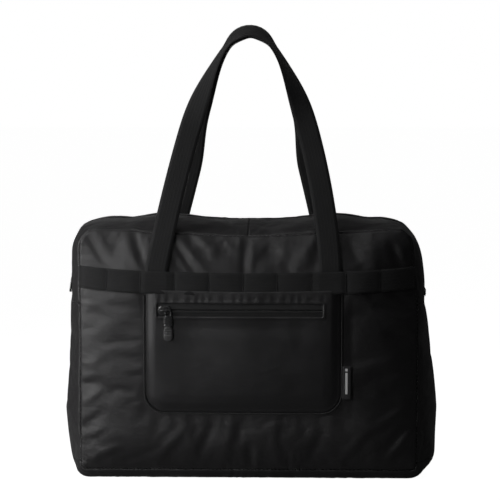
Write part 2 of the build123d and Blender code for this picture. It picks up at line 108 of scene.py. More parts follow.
# Folds of the front: x, z of each end, height (negative is a crease), half width
FRONT_FOLDS = (
    # drawn in towards the left handle
    (-97, 309, -63, 264, -4.6, 4.5),
    (-90, 312, -52, 266, 3.8, 5.0),
    (-99, 296, -82, 264, -3.2, 4.0),
    (-76, 312, -50, 286, -2.6, 5.0),
    (-62, 312, -40, 296, 1.8, 5.0),
    (-142, 314, -129, 270, -3.6, 4.5),
    (-152, 308, -139, 272, 2.8, 5.5),
    # above the band, left and right
    (-197, 302, -179, 274, -3.6, 4.0),
    (-189, 308, -171, 278, 2.4, 5.0),
    (-166, 304, -158, 278, -1.6, 5.0),
    (-2, 312, -3, 265, -4.2, 3.0),
    (3, 308, 2, 268, 2.4, 3.5),
    (-40, 300, -12, 282, -3.4, 15.0),
    (18, 296, 40, 282, -4.2, 12.0),
    (25, 312, 60, 302, 2.2, 6.0),
    (80, 308, 66, 278, 2.4, 9.0),
    (126, 304, 138, 276, -2.8, 8.0),
    (154, 306, 156, 274, 2.4, 8.0),
    (180, 298, 194, 272, -3.4, 6.0),
    (190, 296, 202, 280, 2.6, 4.0),
    # the right side below the band
    (162, 226, 208, 216, -3.4, 5.0),
    (158, 216, 205, 204, 2.2, 6.0),
    (180, 242, 202, 226, -2.2, 5.0),
    (172, 190, 207, 180, -2.4, 6.0),
    (150, 150, 200, 160, 1.8, 9.0),
    # the lower right corner
    (178, 36, 207, 66, 4.6, 4.5),
    (171, 42, 200, 74, -3.4, 4.5),
    (158, 68, 190, 92, 3.8, 5.0),
    (146, 54, 182, 82, -2.6, 6.0),
    (116, 30, 146, 64, 2.2, 8.0),
    # the lower left corner and side
    (-206, 54, -182, 70, 3.4, 4.0),
    (-208, 70, -180, 90, -3.0, 4.5),
    (-208, 100, -184, 116, 3.0, 4.5),
    (-209, 122, -188, 128, -2.8, 4.5),
    (-208, 146, -190, 154, 2.2, 5.0),
    (-200, 28, -164, 46, 3.0, 6.0),
    (-154, 26, -114, 44, -2.0, 6.0),
    # the foot of the front
    (-114, 30, -80, 68, 2.0, 8.0),
    (-64, 28, -44, 72, -1.8, 8.0),
    (-34, 24, -18, 76, 2.0, 9.0),
    (4, 18, 2, 48, -3.4, 4.5),
    (10, 18, 12, 42, 2.4, 3.5),
    (36, 22, 32, 62, 1.6, 8.0),
    (76, 24, 92, 62, -1.6, 9.0),
)
BACK_FOLDS = (
    (-150, 300, -110, 268, -3.6, 6.0),
    (-60, 306, -88, 268, 3.0, 6.0),
    (10, 310, 4, 268, -3.2, 5.0),
    (60, 304, 92, 270, -3.0, 6.0),
    (170, 300, 190, 272, 2.6, 6.0),
    (-205, 60, -150, 100, 3.2, 8.0),
    (-200, 190, -140, 160, -3.0, 9.0),
    (-60, 24, -30, 90, 2.8, 9.0),
    (70, 30, 110, 96, -3.0, 10.0),
    (150, 40, 205, 84, 3.4, 7.0),
    (120, 220, 200, 190, -3.0, 9.0),
    (-90, 210, 20, 150, 2.4, 16.0),
    (30, 200, 130, 120, -2.4, 16.0),
)

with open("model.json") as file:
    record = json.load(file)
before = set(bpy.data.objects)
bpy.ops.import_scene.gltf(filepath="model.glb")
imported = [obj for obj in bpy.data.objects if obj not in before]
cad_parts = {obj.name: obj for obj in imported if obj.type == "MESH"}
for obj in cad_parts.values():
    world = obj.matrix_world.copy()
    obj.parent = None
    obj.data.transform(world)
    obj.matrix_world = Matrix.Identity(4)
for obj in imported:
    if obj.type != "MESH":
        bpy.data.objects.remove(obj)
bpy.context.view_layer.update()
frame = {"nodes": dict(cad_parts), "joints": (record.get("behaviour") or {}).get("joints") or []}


# ---------------------------------------------------------------- small helpers
def smooth(t):
    t = np.clip(t, 0.0, 1.0)
    return t * t * (3 - 2 * t)


def wander(*place, size=1.0, seed=0.0):
    """Smooth noise between about -1 and 1."""
    p = Vector([c / size for c in place] + [0.0] * (3 - len(place)))
    return noise.noise(p + Vector((seed * 7.31, seed * 3.17, seed * 5.77)))


def moving_mean(values, reach, wrap=False):
    """Each row replaced by the mean of the rows within reach of it."""
    values = np.asarray(values, float)
    n = len(values)
    spots = np.arange(n)
    total = np.zeros_like(values)
    for d in range(-reach, reach + 1):
        near = (spots + d) % n if wrap else np.clip(spots + d, 0, n - 1)
        total += values[near]
    return total / (2 * reach + 1)


def unit(v):
    v = np.asarray(v, float)
    return v / np.maximum(np.linalg.norm(v, axis=-1, keepdims=True), 1e-9)


def run_along(line):
    """Distance along a line from its start to each of its points."""
    return np.concatenate([[0], np.cumsum(np.linalg.norm(np.diff(line, axis=0), axis=1))])


def sampled(line, run, goal):
    """Points of a line at the distances in goal, where run is the distance of each of its own points."""
    return np.stack([np.interp(goal, run, column) for column in np.transpose(line)], 1)


def squarish(share, power):
    """A sine or cosine with its middle range pushed out, which turns a circle into a round-cornered box."""
    return math.copysign(abs(share) ** power, share)


def round_off(a, b, r):
    """Moves a point of a square corner of size r onto the round one. a and b start at its inner edges."""
    return a * math.sqrt(1 - b * b / (2 * r * r)), b * math.sqrt(1 - a * a / (2 * r * r))


def rectangle_sides(left, right, low, high):
    """Start and end of each side of an upright rectangle."""
    corners = [(left, low), (right, low), (right, high), (left, high)]
    return zip(corners, corners[1:] + corners[:1])


def add_object(name, data):
    obj = bpy.data.objects.new(name, data)
    bpy.context.scene.collection.objects.link(obj)
    return obj


def make_object(name, verts, faces, material, uv=None):
    """A smooth-shaded mesh object from millimetre points. uv holds (along, across) of each point."""
    mesh = bpy.data.meshes.new(name)
    mesh.from_pydata([tuple(c * MM for c in v) for v in verts], [], faces)
    if uv is not None:
        layer = mesh.uv_layers.new(name="UVMap")
        corner_verts = np.zeros(len(mesh.loops), np.int32)
        mesh.loops.foreach_get("vertex_index", corner_verts)
        layer.data.foreach_set("uv", (np.asarray(uv, float)[corner_verts] * MM).ravel())
    mesh.polygons.foreach_set("use_smooth", [True] * len(mesh.polygons))
    mesh.materials.append(material)
    mesh.update()
    return add_object(name, mesh)


def bake(obj):
    """Turns an object's modifiers into its own mesh."""
    bpy.context.view_layer.update()
    graph = bpy.context.evaluated_depsgraph_get()
    mesh = bpy.data.meshes.new_from_object(obj.evaluated_get(graph), depsgraph=graph)
    obj.modifiers.clear()
    obj.data = mesh
    return obj


def thicken(obj, thickness):
    """Gives a sheet its thickness, inward from the side it shows."""
    solid = obj.modifiers.new("thickness", "SOLIDIFY")
    solid.thickness = thickness * MM
    solid.offset = -1
    return bake(obj)


def join_parts(parts):
    """Several (verts, faces) lists as one."""
    verts, faces = [], []
    for part_verts, part_faces in parts:
        start = len(verts)
        verts.extend(part_verts)
        faces.extend([tuple(i + start for i in f) for f in part_faces])
    return verts, faces


def grid_faces(across, along, wrap=False):
    """Quads of a grid whose points run across first. wrap closes the grid across."""
    faces = []
    for j in range(along - 1):
        for i in range(across if wrap else across - 1):
            k = (i + 1) % across
            a, b = j * across, (j + 1) * across
            faces.append((a + i, a + k, b + k, b + i))
    return faces


def bar_faces(across, along):
    """Faces of a bar whose points run round it first, with both its ends closed."""
    last = across * (along - 1)
    ends = [tuple(range(across))[::-1], tuple(range(last, last + across))]
    return grid_faces(across, along, wrap=True) + ends


def finish_piece(obj, body, *nodes):
    """Puts a piece on its body in place of CAD nodes."""
    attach(obj, body)
    if nodes:
        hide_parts(*nodes)


# ---------------------------------------------------------------- materials
class Shader:
    """A short way to write a Principled material as a node tree."""

    def __init__(self, name, base, roughness, **inputs):
        self.material = bpy.data.materials.new(name)
        self.material.use_nodes = True
        self.tree = self.material.node_tree
        self.surface = self.tree.nodes["Principled BSDF"]
        self.coords = self.tree.nodes.new("ShaderNodeTexCoord")
        self.set(self.surface, "Base Color", (*base, 1))
        self.set(self.surface, "Roughness", roughness)
        for key, value in inputs.items():
            self.set(self.surface, key.replace("_", " "), value)

    def set(self, node, key, value):
        if isinstance(value, bpy.types.NodeSocket):
            self.tree.links.new(value, node.inputs[key])
        else:
            node.inputs[key].default_value = value

    def add(self, kind, output=0, **inputs):
        """Adds a node. Keys that name a socket set it, other keys set a property."""
        node = self.tree.nodes.new("ShaderNode" + kind)
        names = [s.name for s in node.inputs]
        for key, value in inputs.items():
            label = key.replace("_", " ")
            if label in names:
                self.set(node, label, value)
            elif key[0] == "i" and key[1:].isdigit():
                self.set(node, int(key[1:]), value)
            else:
                setattr(node, key, value)
        return node.outputs[output]

    def math(self, operation, a, b=0.0):
        return self.add("Math", operation=operation, i0=a, i1=b)

    def within(self, value, middle, reach):
        """1 where a value is within reach of the middle, else 0."""
        return self.add("Math", operation="COMPARE", i0=value, i1=middle, i2=reach)

    def axis(self, source, which):
        return self.add("SeparateXYZ", which, Vector=source)

    def ripple(self, along, pitch_mm):
        """A sine ridge repeated every pitch along one coordinate in metres."""
        return self.math("SINE", self.math("MULTIPLY", along, 2 * math.pi / (pitch_mm * MM)))

    def noise(self, scale, detail=3.0, roughness=0.5, source=None):
        place = source or self.coords.outputs["Object"]
        return self.add("TexNoise", Vector=place, Scale=scale, Detail=detail, Roughness=roughness)

    def ramp(self, value, low, high, out_low, out_high):
        return self.add(
            "MapRange", Value=value, From_Min=low, From_Max=high, To_Min=out_low, To_Max=out_high
        )

    def bump(self, height, distance_mm, strength=1.0, after=None):
        node = self.tree.nodes.new("ShaderNodeBump")
        self.set(node, "Height", height)
        self.set(node, "Distance", distance_mm * MM)
        self.set(node, "Strength", strength)
        if after is not None:
            self.tree.links.new(after, node.inputs["Normal"])
        self.set(self.surface, "Normal", node.outputs[0])
        return node.outputs[0]

    def mix_colour(self, share, dark, light):
        mix = self.add("Mix", 2, data_type="RGBA", i0=share, i6=(*dark, 1), i7=(*light, 1))
        self.set(self.surface, "Base Color", mix)

    def vary(self, dark, light, scale):
        """Base colour that drifts between two shades."""
        self.mix_colour(self.ramp(self.noise(scale, 4.0), 0.3, 0.7, 0.0, 1.0), dark, light)


def nylon(name, dark, light, roughness, crumple):
    """Thin black nylon: fine weave, soft folds with a few sharper creases, and an uneven satin shine."""
    s = Shader(name, dark, roughness, Specular_IOR_Level=0.5, Sheen_Weight=0.1, Sheen_Roughness=0.4)
    s.vary(dark, light, 9.0)
    place = s.coords.outputs["Object"]
    x, y, z = (s.axis(place, i) for i in range(3))
    weave = s.math("MULTIPLY", s.ripple(s.math("ADD", x, y), 0.7), s.ripple(s.math("ADD", z, y), 0.7))
    slanted = s.add("Mapping", Vector=place, Rotation=(0.0, 0.5, 0.0), Scale=(1.0, 1.0, 0.45))
    folds = s.noise(11.0, 2.0, 0.45, slanted)
    across = s.add("Mapping", Vector=place, Rotation=(0.0, -0.7, 0.0), Scale=(0.5, 1.0, 1.0))
    creases = s.math("ABSOLUTE", s.math("SUBTRACT", s.noise(19.0, 2.0, 0.4, across), 0.5))
    sharp = s.ramp(creases, 0.0, 0.07, 0.0, 1.0)
    patch = s.ramp(s.noise(7.0, 2.0), 0.42, 0.62, 0.0, 1.0)
    first = s.bump(folds, 13.0 * crumple, 0.6)
    second = s.bump(s.math("MULTIPLY", sharp, patch), 0.7 * crumple, 0.7, first)
    third = s.bump(s.noise(52.0, 3.0, 0.5, across), 2.2 * crumple, 0.5, second)
    s.bump(weave, 0.04, 0.6, third)
    rough = s.ramp(s.noise(30.0, 3.0), 0.3, 0.7, roughness - 0.05, roughness + 0.05)
    s.set(s.surface, "Roughness", rough)
    return s.material


def woven(name, base, light, roughness, rib, column, depth=0.25):
    """Webbing and tapes: twill columns along the length, read from the piece's own UVs."""
    s = Shader(name, base, roughness, Specular_IOR_Level=0.35, Sheen_Weight=0.15, Sheen_Roughness=0.5)
    s.vary(base, light, 30.0)
    uv = s.coords.outputs["UV"]
    along, across = s.axis(uv, 0), s.axis(uv, 1)
    fold = s.math("PINGPONG", across, column * MM)
    twill = s.ripple(s.math("ADD", along, s.math("MULTIPLY", fold, 0.9)), rib)
    groove = s.ramp(fold, 0.0, column * 0.22 * MM, 0.0, 1.0)
    height = s.math("ADD", s.math("MULTIPLY", twill, 0.5), groove)
    first = s.bump(height, depth, 0.8)
    s.bump(s.noise(900.0, 2.0), 0.12, 0.5, first)
    return s.material


def plain(name, base, light, roughness, grain, grain_mm, **inputs):
    """Moulded or lacquered parts: a slight drift in colour and shine, and a fine surface grain."""
    s = Shader(name, base, roughness, **inputs)
    s.vary(base, light, 60.0)
    rough = s.ramp(s.noise(160.0, 4.0), 0.3, 0.7, roughness * 0.75, roughness * 1.25)
    s.set(s.surface, "Roughness", rough)
    s.bump(s.noise(grain, 3.0), grain_mm, 0.5)
    return s.material


NYLON = nylon("shell_nylon", (0.0125, 0.0118, 0.0128), (0.017, 0.0162, 0.0172), 0.48, 1.0)
POCKET_NYLON = nylon("pocket_nylon", (0.0125, 0.012, 0.013), (0.0155, 0.015, 0.016), 0.45, 0.5)
WEBBING = woven("webbing", (0.006, 0.006, 0.0065), (0.009, 0.009, 0.0095), 0.78, 1.7, 2.0)
TAPE = woven("zip_tape", (0.008, 0.008, 0.0085), (0.011, 0.011, 0.0115), 0.7, 1.1, 1.2, 0.12)
BINDING = woven("binding", (0.010, 0.010, 0.0105), (0.014, 0.014, 0.0145), 0.6, 1.3, 1.0, 0.15)
COIL = plain("zip_coil", (0.010, 0.010, 0.011), (0.014, 0.014, 0.015), 0.38, 700.0, 0.03)
THREAD = plain("thread", (0.006, 0.006, 0.0065), (0.010, 0.010, 0.0105), 0.62, 1200.0, 0.08)
METAL = plain(
    "black_metal", (0.020, 0.020, 0.021), (0.026, 0.026, 0.027), 0.26, 300.0, 0.02,
    Coat_Weight=0.8, Coat_Roughness=0.08,
)
RUBBER = plain(
    "puller_rubber", (0.034, 0.034, 0.035), (0.044, 0.044, 0.045), 0.4, 500.0, 0.03,
    Specular_IOR_Level=0.7,
)


def label_material():
    """Black woven label with a plain light bar along its middle and a small square before the bar."""
    black = (0.012, 0.012, 0.013)
    s = Shader("label", black, 0.7)
    uv = s.coords.outputs["UV"]
    along, across = s.axis(uv, 0), s.axis(uv, 1)
    light_bar = s.within(along, 21.5 * MM, 13.5 * MM)
    light_square = s.within(along, 4.5 * MM, 1.6 * MM)
    marks = s.math("MAXIMUM", light_bar, light_square)
    s.mix_colour(s.math("MULTIPLY", s.within(across, 4.8 * MM, 1.4 * MM), marks), black, (0.62, 0.62, 0.62))
    s.bump(s.ripple(along, 0.5), 0.05, 0.6)
    return s.material


LABEL = label_material()


# ---------------------------------------------------------------- the filled shell
def rounded(x, z):
    """Moves a point of the panel's grid so that the grid's square corners follow the round ones."""
    edge_z, r, up = (TOP_Z, TOP_R, 1) if z > (BASE_Z + TOP_Z) / 2 else (BASE_Z, BASE_R, -1)
    a = abs(x) - (HALF_W - r)
    b = (z - edge_z) * up + r
    if a <= 0 or b <= 0:
        return x, z
    a, b = round_off(a, b, r)
    return math.copysign(HALF_W - r + a, x), edge_z + up * (b - r)


def ease(distance, flat, edge):
    """1 up to flat, then a round fall to 0 at the edge."""
    past = max(0.0, distance - flat)
    return max(0.0, 1 - (past / (edge - flat)) ** 2)


def front_swell(x, z):
    """How far the filled front stands in front of its seam plane."""
    upright = ease(z, 232.0, TOP_Z) if z > 232 else ease(60.0 - min(z, 60.0), 0.0, 60.0 - BASE_Z)
    tuck = 1 - FRONT_TUCK * float(smooth((150.0 - z) / 110.0))
    return FRONT_SWELL * ease(abs(x), 125.0, HALF_W) * upright * tuck


def fold_height(folds, x, z):
    """Sum of the sewn-in folds at a point of a panel."""
    total = 0.0
    for x0, z0, x1, z1, height, width in folds:
        dx, dz = x1 - x0, z1 - z0
        t = ((x - x0) * dx + (z - z0) * dz) / (dx * dx + dz * dz)
        held = min(1.0, max(0.0, t))
        off = math.hypot(x - x0 - held * dx, z - z0 - held * dz)
        if off < 3 * width:
            fade = 1 - 0.6 * abs(2 * held - 1) ** 2
            total += FOLD_SHARE * height * fade * math.exp(-((off / width) ** 2))
    return total


def front_y(x, z):
    return -HALF_D - front_swell(x, z)


def settle(x, z):
    """The soft top's own shape: it dips in the middle, stands up by the handles and leans in at the right."""
    share = min(1.0, max(0.0, (z - SPLIT_Z) / (TOP_Z - SPLIT_Z)))
    above = min(1.0, max(0.0, (z - TOP_Z) / ZIP_OUT))
    # past the middle dip the seam stays level on the line the mouth turns about, and rises beyond the mouth
    seam = TOP_SAG * (float(smooth((abs(x) - 20.0) / 80.0)) - 1)
    seam += TOP_LIFT * float(smooth((abs(x) - 105.0) / 70.0))
    crest = -TOP_SAG + (TOP_SAG + TOP_LIFT) * float(smooth((abs(x) - 20.0) / 130.0))
    lift = seam + (crest - seam) * above
    lean = TOP_LEAN * float(smooth((x - 150.0) / 60.0)) * float(smooth((z - 215.0) / 70.0))
    drop = CORNER_DROP * above * float(smooth((abs(x) - 100.0) / 60.0))
    return x - lean, z + lift * share - drop


def settled(points):
    """Points of a piece near the mouth, moved with the soft top."""
    moved = [(settle(x, z), y) for x, y, z in points]
    return [(x, y, z) for (x, z), y in moved]


def zip_outline(x, z, grow):
    """Signed distance from a point to the zip's line round the bag, at a height of grow over it."""
    r = ZIP_CORNERS[-1 if x < 0 else 1] + grow
    a = abs(x) - (HALF_W + ZIP_OUT + grow - r)
    b = z - (TOP_Z + ZIP_OUT + grow - r)
    return min(max(a, b), 0.0) + math.hypot(max(a, 0.0), max(b, 0.0)) - r


def ring_points():
    """The seam line round the front panel, from the lower left corner up, over and round."""
    spots = [(0, k) for k in range(ROWS)]
    spots += [(i, ROWS) for i in range(COLUMNS)]
    spots += [(COLUMNS, k) for k in range(ROWS, 0, -1)]
    spots += [(i, 0) for i in range(COLUMNS, 0, -1)]
    return spots


def grid_place(i, k):
    x = -HALF_W + 2 * HALF_W * i / COLUMNS
    z = BASE_Z + (TOP_Z - BASE_Z) * k / ROWS
    return rounded(x, z)


def strip_rise(x, z, y, n):
    """How far the side, base or zip strip stands out past the seams at a seam point with outward normal n."""
    belly = float(np.interp(z, BELLY_Z, BELLY_OUT[-1 if x < 0 else 1]))
    if z > ZIP_END_Z:
        reach = 0.0
        for _ in range(5):
            reach -= zip_outline(x + n[0] * reach, z + n[1] * reach, 2.0)
        belly += (reach - belly) * float(smooth((z - ZIP_END_Z) / 34.0))
    round_side = belly * (1 - abs(y / HALF_D) ** 2.4)
    flat_base = BASE_Z * ease(abs(y), 67.0, HALF_D)
    low = smooth((z - BASE_Z) / BASE_R)
    if z < BASE_Z + BASE_R and abs(x) > HALF_W - BASE_R - 0.1:
        return flat_base + (round_side - flat_base) * low
    return flat_base if z < BASE_Z + 1 else round_side


FIXED_PIECES = [f"{face}_panel_{level}" for face in ("front", "back") for level in ("upper", "lower")]
FIXED_PIECES += ["base_panel", "side_gusset_left", "side_gusset_right"]
STRIPS = {
    f"strip_{face}_{side}": (face, sign)
    for face in ("front", "back")
    for side, sign in (("left", -1), ("right", 1))
}
PIECE_NAMES = [*FIXED_PIECES, *STRIPS, "zip_gap"]


def ring_piece(x, z, y):
    """Which piece a face of the strip between the panels belongs to."""
    side = "left" if x < 0 else "right"
    if z < BASE_END_Z:
        return "base_panel"
    if z < ZIP_END_Z:
        return f"side_gusset_{side}"
    if abs(y) < STRIP_EDGE:
        return "zip_gap"
    return f"strip_{'front' if y < 0 else 'back'}_{side}"


def shell_mesh():
    """Points, faces and a piece name per face for the closed shell."""
    wide = COLUMNS + 1
    verts, faces, names = [], [], []
    panel = [grid_place(i, k) for k in range(ROWS + 1) for i in range(wide)]
    for x, z in panel:
        verts.append((x, front_y(x, z) - fold_height(FRONT_FOLDS, x, z), z))
    for x, z in panel:
        verts.append((x, -front_y(x, z) + fold_height(BACK_FOLDS, x, z), z))
    for back in (0, 1):
        for k in range(ROWS):
            for i in range(COLUMNS):
                a = back * len(panel) + k * wide + i
                quad = (a, a + 1, a + 1 + wide, a + wide)
                faces.append(quad[::-1] if back else quad)
                z = BASE_Z + (TOP_Z - BASE_Z) * (k + 0.5) / ROWS
                level = "upper" if z > SPLIT_Z else "lower"
                names.append(f"{'back' if back else 'front'}_panel_{level}")
    ring = ring_points()
    flat = np.array([grid_place(i, k) for i, k in ring])
    ahead, behind = np.roll(flat, -1, 0), np.roll(flat, 1, 0)
    along = unit(ahead - behind)
    outward = np.stack([-along[:, 1], along[:, 0]], 1)
    row_start = [[k * wide + i for i, k in ring]]
    for j in range(1, DEPTH_ROWS):
        y = -HALF_D + 2 * HALF_D * j / DEPTH_ROWS
        row_start.append(list(range(len(verts), len(verts) + len(ring))))
        for (x, z), n in zip(flat, outward):
            out = strip_rise(x, z, y, n)
            verts.append((x + n[0] * out, y, z + n[1] * out))
    row_start.append([len(panel) + k * wide + i for i, k in ring])
    for j in range(DEPTH_ROWS):
        y = -HALF_D + 2 * HALF_D * (j + 0.5) / DEPTH_ROWS
        for s in range(len(ring)):
            t = (s + 1) % len(ring)
            low, high = row_start[j], row_start[j + 1]
            faces.append((low[s], low[t], high[t], high[s]))
            middle = (flat[s] + flat[t]) / 2
            names.append(ring_piece(middle[0], middle[1], y))
    return np.array(settled(verts), float), faces, names


def hold_weight(x, y, z):
    """How firmly the simulation holds a point: seams, base, zip and what lies under the pocket are firm."""
    seam = abs(abs(y) - HALF_D) < 0.5
    at_zip = abs(y) < 13 and z > ZIP_END_Z - 12
    in_pocket = abs(x - MIDDLE_X) < POCKET_HALF + 5 and POCKET_LOW - 5 < z < POCKET_TOP
    under_pocket = y < -HALF_D and in_pocket
    under_band = abs(y) > HALF_D and abs(z - BAND_Z - BAND_SAG * (x / HALF_W) ** 2) < 9
    if at_zip or z < 2.0:
        return HOLD_STILL
    if seam:
        return HOLD_SEAM
    if under_pocket:
        return HOLD_POCKET
    return HOLD_BAND if under_band else HOLD_LOOSE


def fill(obj, rest):
    """Blows the shell up a little with more cloth than it needs, so that it wrinkles between its seams."""
    group = obj.vertex_groups.new(name="hold")
    loose = obj.vertex_groups.new(name="loose")
    for n, (x, y, z) in enumerate(rest):
        group.add([n], hold_weight(x, y, z), "REPLACE")
        seam = abs(abs(y) - HALF_D) < 0.5
        loose.add([n], 0.0 if seam else 0.5 + 0.5 * wander(x, y, z, size=60.0, seed=2), "REPLACE")
    cloth = obj.modifiers.new("cloth", "CLOTH")
    s = cloth.settings
    s.quality = 6
    s.mass = 0.15
    s.tension_stiffness = 25
    s.compression_stiffness = 25
    s.shear_stiffness = 6
    s.bending_stiffness = 0.25
    s.use_pressure = True
    s.uniform_pressure_force = 2.2
    s.vertex_group_mass = "hold"
    s.pin_stiffness = 1.0
    s.shrink_min = -0.02
    s.shrink_max = -0.07
    s.vertex_group_shrink = "loose"
    s.effector_weights.gravity = 0
    cloth.collision_settings.use_self_collision = False
    cloth.point_cache.frame_start = 1
    cloth.point_cache.frame_end = FILL_FRAMES
    scene = bpy.context.scene
    for number in range(1, FILL_FRAMES + 1):
        scene.frame_set(number)
    graph = bpy.context.evaluated_depsgraph_get()
    evaluated = obj.evaluated_get(graph)
    moved = np.zeros(len(rest) * 3)
    evaluated.data.vertices.foreach_get("co", moved)
    obj.modifiers.clear()
    scene.frame_set(1)
    return moved.reshape(-1, 3) / MM


def shell_object():
    """The filled shell, smooth and finely divided, with one material slot per piece."""
    verts, faces, names = shell_mesh()
    shell = make_object("shell", verts, faces, NYLON)
    moved = fill(shell, verts)
    step = moved - verts
    length = np.linalg.norm(step, axis=1, keepdims=True)
    step *= FILL_SHARE * np.minimum(1.0, FILL_CAP / np.maximum(length, 1e-6))
    hold = np.array([hold_weight(*v) for v in verts])
    step[hold > FIRM] *= FIRM_SHARE
    verts = verts + step
    shell.data.vertices.foreach_set("co", (verts * MM).ravel())
    for name in PIECE_NAMES[1:]:
        shell.data.materials.append(NYLON)
    index = {name: n for n, name in enumerate(PIECE_NAMES)}
    shell.data.polygons.foreach_set("material_index", [index[n] for n in names])
    fine = shell.modifiers.new("fine", "SUBSURF")
    fine.levels = fine.render_levels = 1
    return bake(shell)


def seam_line():
    """The seam line round a panel as a closed list of (x, z)."""
    return np.array([settle(*grid_place(i, k)) for i, k in ring_points()])


def pucker(shell):
    """Small gathers along every seam, square to it, where the thread pulls the nylon in."""
    flat = seam_line()
    steps = np.linalg.norm(np.roll(flat, -1, 0) - flat, axis=1)
    run = np.concatenate([[0], np.cumsum(steps)[:-1]])
    trees = []
    for y in (-HALF_D, HALF_D):
        tree = KDTree(len(flat))
        for n, (x, z) in enumerate(flat):
            tree.insert((x, y, z), n)
        tree.balance()
        trees.append(tree)
    count = len(shell.data.vertices)
    co, normal = np.zeros(count * 3), np.zeros(count * 3)
    shell.data.vertices.foreach_get("co", co)
    shell.data.vertices.foreach_get("normal", normal)
    co, normal = co.reshape(-1, 3) / MM, normal.reshape(-1, 3)
    push = np.zeros(count)
    for n, (x, y, z) in enumerate(co):
        _, near, off = trees[0 if y < 0 else 1].find((x, y, z))
        if off < 34:
            s = run[near]
            sway = wander(s, y, size=26.0, seed=1) * 1.7
            wave = math.sin(s * 2 * math.pi / GATHER_PITCH + 9 * sway)
            gather = 0.15 + 1.1 * max(0.0, wander(s, 0.0, y, size=48.0, seed=4) + 0.1)
            push[n] += GATHER * gather * wave * (off / 7.0) * math.exp(1 - off / 7.0)
            push[n] -= SEAM_GROOVE * math.exp(-((off / 2.0) ** 2))
        if abs(y) < HALF_D - 4 and z > ZIP_END_Z and STRIP_EDGE <= abs(y) < 26:
            wave = wander(x + z, y * 0.3, size=11.0, seed=6)
            push[n] += 1.1 * wave * math.exp(-((abs(y) - STRIP_EDGE) / 8.0))
    co += normal * push[:, None]
    shell.data.vertices.foreach_set("co", (co * MM).ravel())
    shell.data.update()


def add_hem(bm):
    """Seam allowance along a strip's sewn edge, turned in behind the panel to close the open mouth's seam."""
    bm.normal_update()
    sewn = []
    for e in bm.edges:
        a, b = (v.co / MM for v in e.verts)
        if e.is_boundary and min(abs(a.y), abs(b.y)) > HALF_D - 6 and abs(a.y - b.y) < 3:
            sewn.append(e)
    turned = {}
    for v in (v for e in sewn for v in e.verts):
        if v not in turned:
            step = Vector((-v.normal.x * HEM, -math.copysign(HEM_GAP, v.co.y), -v.normal.z * HEM))
            turned[v] = bm.verts.new(v.co + step * MM)
    for e in sewn:
        loop = e.link_loops[0]
        a, b = loop.vert, loop.link_loop_next.vert
        bm.faces.new((b, a, turned[a], turned[b])).smooth = True


def cut_piece(shell, name):
    """One piece of the shell as its own thin, hollow sheet."""
    index = PIECE_NAMES.index(name)
    mesh = shell.data.copy()
    bm = bmesh.new()
    bm.from_mesh(mesh)
    bmesh.ops.delete(bm, geom=[f for f in bm.faces if f.material_index != index], context="FACES")
    if name.startswith("strip"):
        add_hem(bm)
    for f in bm.faces:
        f.material_index = 0
    bm.to_mesh(mesh)
    bm.free()
    mesh.materials.clear()
    mesh.materials.append(NYLON)
    return thicken(add_object(name, mesh), FABRIC)


def over_mouth(piece, face, sign, kind):
    """Bakes a piece's place into its mesh and hides the CAD nodes it replaces. The mouth's hinge ends are
    worked out but not used, so the piece is put on no body and does not open with the mouth.
    """
    start, end = ((sign * x, 0, MOUTH_Z) for x in (MOUTH_HELD, MOUTH_FREE))
    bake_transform(piece)
    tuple(start)
    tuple(end)
    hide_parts(f"{kind}_{face}_sides", f"{kind}_{face}_top")


def build_shell():
    shell = shell_object()
    pucker(shell)
    tree = BVHTree.FromObject(shell, bpy.context.evaluated_depsgraph_get())
    for name in FIXED_PIECES:
        finish_piece(cut_piece(shell, name), "bag", name)
    for name, (face, sign) in STRIPS.items():
        over_mouth(cut_piece(shell, name), face, sign, "zip_gusset")
    bpy.data.objects.remove(shell)
    return tree


# ---------------------------------------------------------------- webbing
def ribbon(centres, acrosses, thickness, crown=0.0, steps=6):
    """A flat strap with rounded edges: points, faces and uv. acrosses are half-width vectors."""
    centres, acrosses = np.asarray(centres, float), np.asarray(acrosses, float)
    along = unit(np.gradient(centres, axis=0))
    up = unit(np.cross(along, acrosses))
    run = run_along(centres)
    profile = []
    for face in (1, -1):
        for n in range(steps + 1):
            a = face * (2 * n / steps - 1)
            out = face * thickness / 2 * (1 - 0.25 * abs(a) ** 6)
            profile.append((a, out + crown * (1 - a * a)))
    width = np.linalg.norm(acrosses, axis=1)
    verts, uv = [], []
    for c, a, u, s, w in zip(centres, acrosses, up, run, width):
        for share, out in profile:
            verts.append(c + a * share + u * out)
            uv.append((s, (share + 1) * w))
    return verts, bar_faces(len(profile), len(centres)), uv


def handle_line(count):
    """Centre line of the front handle above its feet, evenly spaced."""
    share = 1 - (1 - np.linspace(0, 1, 600)) ** 2
    x = -HANDLE_X * np.sqrt(np.maximum(0, 1 - share**HANDLE_ROUND))
    y = FOOT_Y + (TOP_Y - FOOT_Y) * share
    z = FOOT_Z + (HANDLE_TOP - FOOT_Z) * share
    left = np.stack([x, y, z], 1)
    right = left[-2::-1] * (-1, 1, 1)
    line = np.concatenate([left, right])
    line[:, 0] += MIDDLE_X * ((HANDLE_TOP - line[:, 2]) / (HANDLE_TOP - FOOT_Z)) ** 4
    run = run_along(line)
    return sampled(line, run, np.linspace(0, run[-1], count))


